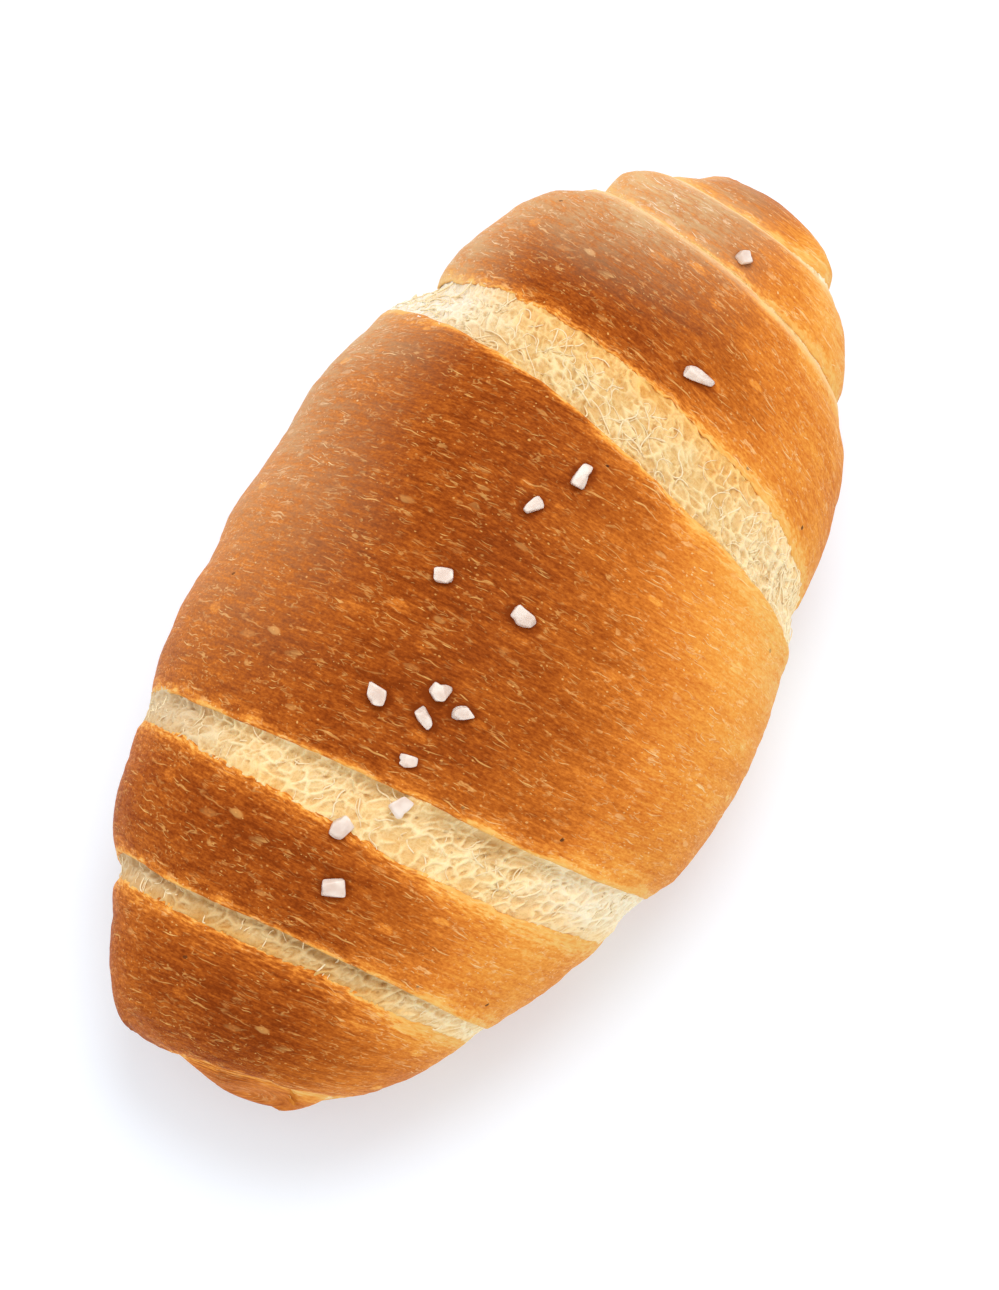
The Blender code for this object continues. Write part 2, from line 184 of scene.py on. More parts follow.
# Rows of a wrap's shell: how many go round a lip or a torn edge and how far each bulges against its thickness,
# how many go back underneath, and how far behind the edge those start
LIP_ROWS, LIP_BULGE = 8, 0.45
TORN_ROWS, TORN_BULGE = 5, 0.4
UNDER_ROWS, UNDER_TUCK = 7, 3.2 * MM

# Crumb strips: how far they run under both crusts, how far their face and back lie below a level that is
# lifted by as much as the face, and their back's rows
STRIP_TUCK, STRIP_REACH = 1.5 * MM, 1.3 * MM
STRIP_FACE, STRIP_BACK, STRIP_BACK_ROWS = 0.35 * MM, 1.9 * MM, 5
WANDER_WAVES = ((4, 80), (1.3, 90))
WEB_HEIGHT, WEB_MIDDLE = 0.75 * MM, 0.42

# Loose threads: the seam, their number, and the spread of their heading and of their curl
STRANDS = ((1, 40, 0.45, 0.8), (2, 70, 0.45, 0.8), (3, 230, 0.8, 1.6))
STRAND_STEPS, STRAND_SIDES, STRAND_SEED = 12, 4, 7

# Salt: place over the crust from the middle (mm), angle round the roll (degrees), length and width (mm),
# turn against the roll's length (degrees), and the seed of the grain's faces
SALT = (
    (51.0, 100, 2.5, 2.1, 14, 1), (31.8, 105, 4.4, 2.2, 89, 2), (12.9, 95, 3.2, 2.1, 175, 3),
    (6.9, 90, 2.5, 1.9, 157, 4), (-4.9, 83, 2.4, 2.0, 123, 5), (-4.7, 100, 3.1, 2.1, 86, 6),
    (-20.1, 84, 2.6, 2.4, 17, 7), (-16.4, 94, 2.7, 2.3, 173, 8), (-19.6, 94, 3.0, 1.6, 64, 9),
    (-17.0, 100, 2.6, 1.7, 130, 10), (-24.6, 96, 2.2, 1.5, 101, 11), (-29.2, 100, 2.6, 2.3, 165, 12),
    (-34.6, 91, 2.9, 2.4, 164, 13), (-40.7, 97, 2.9, 2.3, 119, 14),
)
SALT_SUNK_SHARE = 0.22
SALT_COLUMNS, SALT_ROWS, SALT_SHARPNESS = 44, 32, 18

# Pale flecks on the crust, by kind: length and width (mm), share of places that hold one, drift, strength
PALE_FLECKS = ((2.0, 0.22, 0.10, 0.8, 1.0), (4.8, 0.30, 0.11, 1.4, 1.0), (0.5, 0.36, 0.09, 0.4, 0.9),
               (3.0, 1.25, 0.035, 0.8, 0.55))
CHAR_COLOUR = (0.05, 0.02, 0.01)
# Pinholes in the crumb are painted shade: dark dots where small pits would lie in shadow
PINHOLE_SHADE = (0.30, 0.13, 0.04)

# Stage: half the floor's side, the place and spread of both lamps, and the camera's angles and target
FLOOR_REACH = 3.0
KEY_PLACE, KEY_SPREAD = (0.98, 0.18, 2.3), np.radians(28)
SIDE_PLACE, SIDE_SPREAD = (-0.1, 0.98, 1.0), np.radians(60)
CAMERA_AZIMUTH, CAMERA_ELEVATION = np.radians(-58.65), np.radians(74.0)
CAMERA_TARGET = np.array([-2.27, -1.43, 21.84]) * MM


def smooth(share):
    """3s² − 2s³: eases a share from 0 to 1."""
    share = np.clip(share, 0, 1)
    return share * share * (3 - 2 * share)


def unit(vectors):
    """Vectors divided by their lengths."""
    return vectors / np.linalg.norm(vectors, axis=-1, keepdims=True)


def turned_from(angle, line):
    """Angle from a line, between half a turn back and half a turn on."""
    return np.mod(angle - line + np.pi, TURN) - np.pi


def girth_share(x, far, near):
    """Share of the full girth at x: (1 − |x / half length| ^ power) ^ (1 / root), by the end x is in."""
    share = np.clip(np.abs(x) / HALF_LENGTH, 0, 1)
    power = np.where(x > 0, far[0], near[0])
    root = np.where(x > 0, far[1], near[1])
    return np.clip(1 - share ** power, 0, 1) ** (1 / root)


def mean_pair(first, second):
    """Halfway between two pairs."""
    return tuple((a + b) / 2 for a, b in zip(first, second))


def length_table():
    """Distance over the crust from the middle against x and girth, summed along the loaf's mean side."""
    theta = np.linspace(-np.pi / 2, np.pi / 2, 2001)
    x = HALF_LENGTH * np.sin(theta)
    girth = girth_share(x, mean_pair(FAR_LEFT, FAR_RIGHT), mean_pair(NEAR_LEFT, NEAR_RIGHT))
    arc = np.concatenate([[0], np.cumsum(np.hypot(np.diff(x), np.diff(girth * MEAN_RADIUS)))])
    return arc - np.interp(0, theta, arc), x, girth


ARC_TABLE, X_TABLE, GIRTH_TABLE = length_table()
NEAR_TIP = float(ARC_TABLE[0])
FAR_TIP = float(ARC_TABLE[-1])


def radius_at(arc):
    """Mean radius of the loaf at a distance over the crust."""
    return MEAN_RADIUS * np.interp(arc, ARC_TABLE, GIRTH_TABLE)


def off_tips(arc, reach):
    """0 at both tips, easing to 1 at a reach from each."""
    return smooth((arc - NEAR_TIP) / reach) * smooth((FAR_TIP - arc) / reach)


def loaf(arc, angle):
    """Point of the plain loaf: an upright oval at x, with its own reach to each side, up and down."""
    x = np.interp(arc, ARC_TABLE, X_TABLE)
    girth = np.interp(arc, ARC_TABLE, GIRTH_TABLE)
    across, rise = np.cos(angle), np.sin(angle)
    left = LEFT_HALF_WIDTH * girth_share(x, FAR_LEFT, NEAR_LEFT)
    right = RIGHT_HALF_WIDTH * girth_share(x, FAR_RIGHT, NEAR_RIGHT)
    y = np.where(across > 0, left, right) * across
    axis = TIP_HEIGHT + (AXIS_HEIGHT - TIP_HEIGHT) * girth
    z = axis + np.where(rise > 0, CROWN_RISE, BELLY_DROP) * girth * rise
    return np.stack(np.broadcast_arrays(x, y, z), -1)


def outward(arc, angle):
    """Unit normal of the plain loaf: the slope round it crossed with the slope along it."""
    reach, turn = 0.05 * MM, 0.002
    low = np.clip(arc - reach, NEAR_TIP + 0.02 * reach, FAR_TIP - 0.02 * reach)
    high = np.clip(arc + reach, NEAR_TIP + 0.02 * reach, FAR_TIP - 0.02 * reach)
    normal = np.cross(loaf(arc, angle + turn) - loaf(arc, angle - turn), loaf(high, angle) - loaf(low, angle))
    normal[..., 0] += np.sign(arc) * 1e-12
    return unit(normal)


def along_edge(values, turns):
    """Curve through an edge's values, one for every sixth of a turn: a cubic between neighbours, in metres."""
    inner = np.asarray(values) * MM
    stations = np.concatenate([[2 * inner[0] - inner[1]], inner, [2 * inner[-1] - inner[-2]]])
    place = np.clip(turns * STATIONS_PER_TURN, 0, TURNS * STATIONS_PER_TURN - 1e-6)
    index = np.floor(place).astype(int)
    t = place - index
    a, b, c, d = (stations[index + k] for k in range(4))
    bend = (2 * a - 5 * b + 4 * c - d) * t ** 2
    twist = (3 * b - a - 3 * c + d) * t ** 3
    return 0.5 * (2 * b + (c - a) * t + bend + twist)


def closed(values, turn, angle):
    """An edge's values as a ring: true over the top, and halfway back to where the turn began underneath. The
    changes start and end a little early and late, which rounds the ring's corners."""
    start = BELLY_END + CORNER_EASE
    angle = np.mod(angle - start, TURN) + start - TURN
    first = along_edge(values, turn + BELLY_START / TURN)
    last = along_edge(values, turn + BELLY_END / TURN - 1)
    onward = along_edge(values, turn + angle / TURN)
    back = along_edge(values, turn + angle / TURN - 1)
    leave = smooth((angle - BELLY_START + CORNER_EASE) / (FOOT_START - BELLY_START + 2 * CORNER_EASE))
    arrive = smooth((angle - FOOT_END + CORNER_EASE) / (BELLY_END - FOOT_END + 2 * CORNER_EASE))
    return onward * (1 - leave) + (first + last) / 2 * (leave - arrive) + back * arrive


def seam_lines(angle):
    """Lip, gap, step and groove of all six seams at the given angles, each with the seam as first index."""
    lines = {"angle": angle}
    for key in ("lip", "gap", "step", "groove"):
        lines[key] = np.stack([closed(edge[key], turn, angle) for edge, turn, _ in SEAMS])
    lines["step"] = np.maximum(lines["step"], 0)
    lines["groove"] = np.maximum(lines["groove"], 0)
    return lines


def is_beyond(band, seam):
    """Whether a band lies on the outer, lower side of a seam."""
    return band <= seam if SEAMS[seam][2] < 0 else band > seam


def side_seam(band, side):
    """The seam along a band's near or far side, or none at a tip."""
    seam = band - 1 if side < 0 else band
    return seam if 0 <= seam < len(SEAMS) else None


def seam_depth(band, arc, lines):
    """Depth of a band's face from the seams alone. A seam sinks the wrap under its lip by step and groove, the
    groove fading past the bare gap, and the wrap on top by a share of both, fading from the lip inwards. A
    crease fades on both sides."""
    depth = 0
    for seam, (_, _, side) in enumerate(SEAMS):
        beyond = side * (arc - lines["lip"][seam])
        step, groove = lines["step"][seam], lines["groove"][seam]
        past = np.maximum(beyond - lines["gap"][seam], 0)
        if is_beyond(band, seam):
            depth = depth + step + groove * np.exp(-past / SHOULDER_REACH)
        else:
            share = np.exp(np.minimum(beyond, 0) / SHOULDER_REACH)
            depth = depth + (STEP_SHOULDER * step + GROOVE_SHOULDER * groove) * share
        crease = np.exp((np.minimum(beyond, 0) - past) / CREASE_REACH)
        depth = depth + SEAM_CREASE[seam] * MM * crease * np.clip(groove / (1 * MM), 0, 1)
    return depth


def tip_depths():
    """Mean depth of the wraps at the two tips, where all angles meet in a point."""
    lines = seam_lines(np.linspace(0, TURN, 72, endpoint=False))
    return [seam_depth(band, tip, lines).mean() for band, tip in ((0, NEAR_TIP), (BANDS - 1, FAR_TIP))]


TIP_DEPTHS = tip_depths()


def trim_depth(arc, angle):
    """Depth of the outline's trim and of the dents. The trim is full at the sides and fades over the crown and
    below; a dent is a bell in distance and angle."""
    places = TRIM_START + TRIM_STEP * np.arange(len(LEFT_TRIM))
    across = np.cos(angle)
    left, right = (np.interp(arc, places, trim, 0, 0) * MM for trim in (LEFT_TRIM, RIGHT_TRIM))
    depth = left * smooth((across - 0.5) / 0.4) + right * smooth((-across - 0.5) / 0.4)
    for place, degrees, reach, spread_degrees, dent in DENTS:
        off = turned_from(angle, np.radians(degrees)) / np.radians(spread_degrees)
        depth = depth + dent * MM * np.exp(-((arc - place * MM) / (reach * MM)) ** 2 - off ** 2)
    return depth * off_tips(arc, 2 * MM)


def band_depth(band, arc, lines):
    """Depth of a band's face below the plain loaf: the seams, eased to one depth at each tip, and the trim."""
    depth = seam_depth(band, arc, lines)
    for tip, sunk in zip((NEAR_TIP, FAR_TIP), TIP_DEPTHS):
        share = smooth(np.abs(arc - tip) / TIP_REACH)
        depth = depth * share + sunk * (1 - share)
    return depth + trim_depth(arc, lines["angle"])


def rest_flat(z):
    """Heights below the board are lifted to it, with a rounded change over the blend height."""
    rounded = (z + FLAT_BLEND) ** 2 / (4 * FLAT_BLEND)
    return np.where(z > FLAT_BLEND, z, np.where(z < -FLAT_BLEND, 0, rounded))


def surface(arc, angle, depth, inset=0.0):
    """Point at a depth below the plain loaf and an inset below that. Only the inset keeps it off the board."""
    normal = outward(arc, angle)
    depth, inset = (np.broadcast_to(value, normal.shape[:-1]) for value in (depth, inset))
    point = loaf(arc, angle) - normal * (depth + inset)[..., None]
    lift = np.maximum(inset, 0) * np.maximum(-normal[..., 2], 0)
    point[..., 2] = rest_flat(point[..., 2] - lift) + lift
    return point + np.array(MIDDLE_SHIFT)


def noise(u, v, seed, period=256):
    """Value noise from −1 to 1: seeded heights on a lattice of unit cells, joined by smooth steps. It repeats
    after a period of cells in u."""
    table = np.random.default_rng(seed).uniform(-1, 1, (period, 256))
    cell_u, cell_v = np.floor(u).astype(int), np.floor(v).astype(int)
    s, t = smooth(u - cell_u), smooth(v - cell_v)
    u0, u1, v0, v1 = cell_u % period, (cell_u + 1) % period, cell_v % 256, (cell_v + 1) % 256
    low = table[u0, v0] * (1 - s) + table[u1, v0] * s
    high = table[u0, v1] * (1 - s) + table[u1, v1] * s
    return low * (1 - t) + high * t


def round_noise(angle, across, radius, long, wide, seed):
    """Noise whose cells have a length round the roll and a width across, in millimetres, closed round it."""
    cells = max(4, int(round(TURN * radius / (long * MM))))
    share = np.mod(angle / TURN + 0.25, 1)
    return noise(share * cells, across / (wide * MM), seed, cells)


def round_waves(angle, radius, long, seed):
    """Noise that changes round the roll alone."""
    return round_noise(angle, 0 * angle, radius, long, 1, seed)


def round_angles(step, coarse=np.radians(2.5)):
    """Angles once round the roll from below: a fine step where the roll is seen, a coarse one underneath."""
    seen_from, seen_to, start = np.radians(-24), np.radians(204), -np.pi / 2
    fine = np.linspace(seen_from, seen_to, int((seen_to - seen_from) / step))
    before = np.linspace(start, seen_from, int((seen_from - start) / coarse), endpoint=False)
    after = np.linspace(seen_to, start + TURN, int((start + TURN - seen_to) / coarse) + 1)[1:-1]
    return np.concatenate([before, fine, after])


def put_mesh(name, bodies, poles, uv=None, fields=None):
    """Joins grids of points (body, row, column) into one mesh. Columns close round; rows close too, or draw
    together to a pole at both ends. Faces are turned outwards by the sign of the enclosed volume."""
    count, rows, columns = bodies.shape[:3]
    points = bodies.reshape(-1, 3)
    index = np.arange(count * rows * columns).reshape(count, rows, columns)
    if poles:
        index[:, 0] = index[:, 0, :1]
        index[:, -1] = index[:, -1, :1]
    row = np.arange(rows - 1 if poles else rows)
    above = (row + 1) % rows

    def corners_of(grid):
        return grid[:, row, :-1], grid[:, row, 1:], grid[:, above, 1:], grid[:, above, :-1]

    quads = np.stack(corners_of(np.concatenate([index, index[:, :, :1]], 2)), -1)
    keep = np.ones(quads.shape, bool)
    if poles:
        keep[:, 0, :, 1] = False
        keep[:, -1, :, 3] = False
    quads, keep = quads.reshape(-1, 4), keep.reshape(-1, 4)
    a, b, c, d = (points[quads[:, k]] for k in range(4))
    volume = np.einsum("ij,ij->", a, np.cross(b, c) + np.cross(c, d))
    order = slice(None) if volume > 0 else slice(None, None, -1)
    keep = keep[:, order]
    used, corners = np.unique(quads[:, order][keep], return_inverse=True)
    totals = keep.sum(1)
    mesh = bpy.data.meshes.new(name)
    mesh.vertices.add(len(used))
    mesh.vertices.foreach_set("co", points[used].ravel())
    mesh.loops.add(len(corners))
    mesh.loops.foreach_set("vertex_index", corners.ravel().astype(np.int32))
    mesh.polygons.add(len(totals))
    mesh.polygons.foreach_set("loop_start", (np.cumsum(totals) - totals).astype(np.int32))
    if uv is not None:
        flat = np.stack(corners_of(uv), -2).reshape(-1, 4, 2)[:, order][keep]
        mesh.uv_layers.new(name="wrap").data.foreach_set("uv", flat.ravel())
    for field, values in (fields or {}).items():
        layer = mesh.attributes.new(field, "FLOAT", "POINT")
        layer.data.foreach_set("value", values.reshape(-1)[used].astype(np.float32))
    mesh.update(calc_edges=True)
    mesh.validate()
    mesh.shade_smooth()
    obj = bpy.data.objects.new(name, mesh)
    bpy.context.scene.collection.objects.link(obj)
    return obj


def own(obj, material):
    """Gives a piece its material and its slot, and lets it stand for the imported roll."""
    obj.data.materials.append(material)
    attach(obj, "root")
    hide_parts("salt_roll")


def tip_share(arc, near_reach, far_reach):
    """0 at both tips and close to them, easing to 1 at somewhat more than a reach in millimetres from each."""
    near, far = (arc - NEAR_TIP) / (near_reach * MM), (FAR_TIP - arc) / (far_reach * MM)
    return smooth(near - 0.15) * smooth(far - 0.15)


def off_crest(arc, angle):
    """Angle from the line of the darkest bake, negative to the left."""
    return turned_from(angle, np.radians(np.interp(arc / MM, CREST_ALONG, CREST_ANGLE)))


def bake_level(arc, angle):
    """How brown the crust is, from 0 to 1: its full value on the crest line, easing down to both sides, most
    of all on the right, with the underside baked again by the tray, and even at the tips. The paling on the
    left is partly the bake and partly painted light, standing for light from the left."""
    off = off_crest(arc, angle)
    left, right = smooth(-off / np.radians(85)), smooth(off / np.radians(72))
    # Paler towards the left: partly the bake, partly painted light that stands for light from the left
    left_bake_and_light_fade = 0.20 + 0.20 * smooth((arc + 38 * MM) / (32 * MM)) + 0.07 * smooth((arc - 8 * MM) / (15 * MM))
    level = np.interp(arc / MM, CREST_ALONG, CREST_BAKE) - left_bake_and_light_fade * left
    level = level - np.interp(arc / MM, CREST_ALONG, CREST_RIGHT) * right
    below = smooth((np.abs(np.mod(angle - 0.5 * np.pi, TURN) - np.pi) - np.radians(25)) / np.radians(35))
    level = level * below + TRAY_BAKE * (1 - below)
    inner = tip_share(arc, 4, 10)
    return level * inner + TIP_BAKE * (1 - inner)


def painted_sheen_level(arc, angle):
    """Painted sheen on the crust, from 0 to 1: pale colour that stands for light glancing off it, over the
    left side, more towards the far end, and over the crown of the far end itself."""
    off = off_crest(arc, angle)
    left = smooth((arc + 38 * MM) / (75 * MM)) * smooth((-off - np.radians(12)) / np.radians(52))
    far = smooth((arc - 32 * MM) / (20 * MM)) * smooth((np.radians(46) - off) / np.radians(60))
    far = far * (1 - 0.5 * smooth((arc - 58 * MM) / (8 * MM)))
    above = smooth((np.sin(angle) + 0.6) / 0.5)
    return np.maximum(0.88 * left, 0.85 * far) * above * tip_share(arc, 4, 8)


def band_edge(band, side, lines, angle):
    """Kind of a band's edge, its place along the roll, and its raggedness: its own lip where the seam points
    that way, or else the torn start of its crust beyond the neighbour's gap, or the tip of the roll."""
    seam = side_seam(band, side)
    if seam is None:
        return "tip", np.full_like(angle, NEAR_TIP if side < 0 else FAR_TIP), np.zeros_like(angle)
    lip, is_lip = lines["lip"][seam], SEAMS[seam][2] == side
    rough = sum((in_lip if is_lip else in_torn) * round_waves(angle, radius_at(lip.mean()), long, seed + seam)
                for long, seed, in_lip, in_torn in EDGE_WAVES) * SEAM_RAGGED[seam] * MM
    if is_lip:
        return "lip", lip + side * 0.1 * MM, side * rough
    return "torn", lip - side * lines["gap"][seam], rough


def edge_rows(kind, seam, sizes):
    """Rows round a band's edge, none at a tip, from its face to its underside: distance past the edge and depth
    below the face. A lip is half an ellipse that overhangs, a torn edge a thin ledge with a notch below it."""
    if kind == "tip":
        return []
    if kind == "lip":
        count, bulge, thickness = LIP_ROWS, LIP_BULGE, SEAM_LIP[seam] * sizes.lip * MM
        back = [(-1.3 * MM, thickness + 0.06 * MM), (-2.8 * MM, sizes.shell)]
    else:
        count, bulge, thickness = TORN_ROWS, TORN_BULGE, sizes.ledge
        back = [(-0.3 * MM, 1.2 * thickness), (-0.5 * MM, 1.2 * MM), (-1.5 * MM, sizes.shell)]
    theta = np.linspace(0, np.pi, count)[1:]
    return list(zip(bulge * thickness * np.sin(theta), thickness / 2 * (1 - np.cos(theta)))) + back


def shell_rows(kinds, seams, sizes, face_rows):
    """Rows of a wrap's shell: share of the way over the face, distance past its edge, and depth below it. They
    run over the face, round the far edge, back underneath and round the near edge, from pole to pole where one
    of the edges is a tip."""
    low_rows, high_rows = (edge_rows(kind, seam, sizes) for kind, seam in zip(kinds, seams))
    low_tuck, high_tuck = (0 if kind == "tip" else UNDER_TUCK for kind in kinds)
    rows = [(t, 0, 0) for t in np.linspace(0, 1, face_rows)]
    rows += [(1, reach, depth) for reach, depth in high_rows]
    rows += [(t, low_tuck * (1 - t) - high_tuck * t, sizes.shell) for t in np.linspace(1, 0, UNDER_ROWS)]
    rows += [(0, -reach, depth) for reach, depth in low_rows[::-1]]
    if kinds[1] == "tip":
        rows = rows[face_rows:] + rows[:face_rows]
    return np.array(rows).T[..., None]


def crust_relief(angle, across, radius, seed):
    """Uneven face of the crust: broad swells, dents, and fine ripples drawn out along the wrap."""
    return sum(share * round_noise(angle, across, radius, long, wide, seed + number)
               for number, (long, wide, share) in enumerate(CRUST_SWELLS))


def salt_contact_shade(arc, angle):
    """Painted contact shade round each grain of salt, from 0 to 1: full under the grain's own oval, fading
    outside it.
    """
    contact_shade = np.zeros_like(arc)
    for place, degrees, long, wide, turn, _ in SALT:
        along = (arc - place * MM) / MM
        beside = -(angle - np.radians(degrees)) * radius_at(place * MM) / MM
        c, s = np.cos(np.radians(turn)), np.sin(np.radians(turn))
        u, v = (along * c + beside * s) / (long / 2), (beside * c - along * s) / (wide / 2)
        contact_shade = np.maximum(contact_shade, 1 - smooth((np.hypot(u, v) - 0.95) / 0.5))
    return contact_shade


def edge_marks(kinds, seams, distances, flat, lines):
    """How far the crust is a lip, torn, or a pale valley, from 0 to 1: the first two fade with the distance from
    such an edge, the valley to both sides of a pale seam."""
    marks = {"lip": np.zeros_like(flat), "torn": np.zeros_like(flat)}
    for kind, seam, distance in zip(kinds, seams, distances):
        away = distance.clip(0) / MM
        if kind == "lip":
            marks[kind] = np.maximum(marks[kind], 0.6 * np.exp(-away / 0.4) + 0.4 * np.exp(-away / 1.5))
        if kind == "torn":
            marks[kind] = np.maximum(marks[kind], np.exp(-away / SEAM_TORN_REACH[seam]))
    marks["valley"] = sum(pale * np.exp(-((flat - lip) / (0.8 * MM)) ** 2)
                          for pale, lip in zip(SEAM_PALE, lines["lip"]))
    return marks


def crust_band(band, sizes, material):
    """One wrap of crust as a closed shell. Rows run from one edge to the other over the face, round the edge,
    back underneath and round again; columns run round the roll."""
    crests = seam_lines(np.array([np.pi / 2]))["lip"][:, 0]
    start, end = np.concatenate([[NEAR_TIP], crests, [FAR_TIP]])[band:band + 2]
    radius = radius_at((start + end) / 2)
    angle = round_angles(sizes.spacing / radius_at(np.linspace(start, end, 9)).max())
    lines = seam_lines(angle)
    kinds, (low, high), (low_rag, high_rag) = zip(*(band_edge(band, side, lines, angle) for side in (-1, 1)))
    seams = side_seam(band, -1), side_seam(band, 1)
    width = (high - low)[(angle > 0) & (angle < np.pi)].mean()
    share, past, inset = shell_rows(kinds, seams, sizes, int(width / sizes.spacing))
    flat = low + (high - low) * share + past
    ragged = sum(rag * np.exp(-away.clip(0) / RAGGED_REACH)
                 for rag, away in ((low_rag, flat - low), (high_rag, high - flat)))
    arc = np.clip(flat + ragged, NEAR_TIP, FAR_TIP)
    across = width * share + past
    grid_angle = np.broadcast_to(angle, arc.shape)
    relief = sizes.relief * crust_relief(grid_angle, across, radius, 100 + 10 * band) * off_tips(arc, 4 * MM)
    depth = band_depth(band, np.clip(flat, low, high), lines)
    depth = depth - relief * (1 - np.clip(inset / sizes.shell, 0, 1))
    points = surface(arc, grid_angle, depth, inset)
    poles = "tip" in kinds
    if poles:
        pole = loaf(np.array(NEAR_TIP if kinds[0] == "tip" else FAR_TIP), np.array(0.0)) + MIDDLE_SHIFT
        for place in (0, -1):
            points[place] = pole - [np.sign(pole[0]) * (inset[place, 0] + depth[place].mean()), 0, 0]
    under = smooth((inset - 0.2 * MM) / (0.5 * MM))
    # One of these fields is a painted sheen, and the ring field is painted contact shade round the salt
    fields = {"bake": bake_level(arc, grid_angle), "painted_sheen": painted_sheen_level(arc, grid_angle),
              "under": np.broadcast_to(under, arc.shape), "ring": salt_contact_shade(flat, grid_angle),
              "calm": tip_share(arc, 2.5, 9), **edge_marks(kinds, seams, (flat - low, high - flat), flat, lines)}
    u = np.broadcast_to(np.append(angle, angle[0] + TURN) * radius / MM, (len(arc), len(angle) + 1))
    v = across / MM - BAND_SHEAR[band] * share * (u - 0.5 * np.pi * radius / MM)
    own(put_mesh(f"crust_band_{band + 1}", points[None], poles, np.stack([u, v], -1)[None], fields),
        material)


def cell_rims(angle, across, radius, long, wide, seed):
    """Rims between the cells of scattered seeds, from 0 inside a cell to 1 on its rim, closed round the roll:
    the nearer the two closest seeds are to being equally far, the higher the rim."""
    count = max(4, int(round(TURN * radius / (long * MM))))
    u, v = np.broadcast_arrays(np.mod(angle / TURN + 0.25, 1) * count, across / (wide * MM))
    table = np.random.default_rng(seed).uniform(0.12, 0.88, (2, count, 64))
    home_u, home_v = np.floor(u).astype(int), np.floor(v).astype(int)
    first, second = np.full(u.shape, 9.0), np.full(u.shape, 9.0)
    for step in np.ndindex(3, 3):
        near_u, near_v = home_u + step[0] - 1, home_v + step[1] - 1
        seeds = table[:, near_u % count, near_v % 64]
        away = np.hypot(near_u + seeds[0] - u, near_v + seeds[1] - v)
        second = np.minimum(second, np.maximum(first, away))
        first = np.minimum(first, away)
    return 1 - smooth((second - first) / 0.42)


def web(angle, across, radius, seed):
    """Torn crumb, from 0 to 1: rims between cells in two sizes, bent by wandering noise, with thin ridges along
    the zero lines of finer noise, on soft lumps, and cut by small round pits."""
    drift_u = round_noise(angle, across, radius, 2.2, 1.8, seed)
    drift_v = round_noise(angle, across, radius, 1.7, 2.0, seed + 1)
    turned = angle + (0.7 * MM * drift_u + 0.35 * (across - 3 * MM)) / radius
    moved = across + 0.6 * MM * drift_v
    large = cell_rims(turned, moved, radius, 1.9, 1.5, seed + 2)
    small = cell_rims(turned + 0.2 * MM * drift_v / radius, moved, radius, 0.85, 0.75, seed + 7)
    fine = 1 - np.abs(round_noise(turned, moved, radius, 0.6, 1.1, seed + 3))
    lumps = 0.5 + 0.5 * round_noise(angle, across, radius, 2.2, 2.2, seed + 5)
    faded = 0.25 + 0.75 * smooth(0.5 + 0.9 * round_noise(angle, across, radius, 1.5, 1.3, seed + 8))
    pits = smooth((round_noise(turned, across, radius, 0.55, 0.6, seed + 6) - 0.45) / 0.3)
    rims = 0.5 * large * faded + 0.26 * small * smooth(lumps) * (1.25 - faded)
    return 0.06 + rims + 0.18 * fine ** 4 + 0.26 * lumps - 0.25 * pits


def neck_share(angle, beyond, radius, gap):
    """Share of the golden neck across its seam, from 0 to 1: a bell beside a slanting line, wider further on."""
    off = (angle - np.radians(NECK_ANGLE)) * radius + 0.9 * (beyond - 0.3 * gap)
    return np.exp(-(off / (NECK_HALF_WIDTH * MM + 0.25 * np.maximum(beyond, 0))) ** 2) * (beyond > -0.5 * MM)


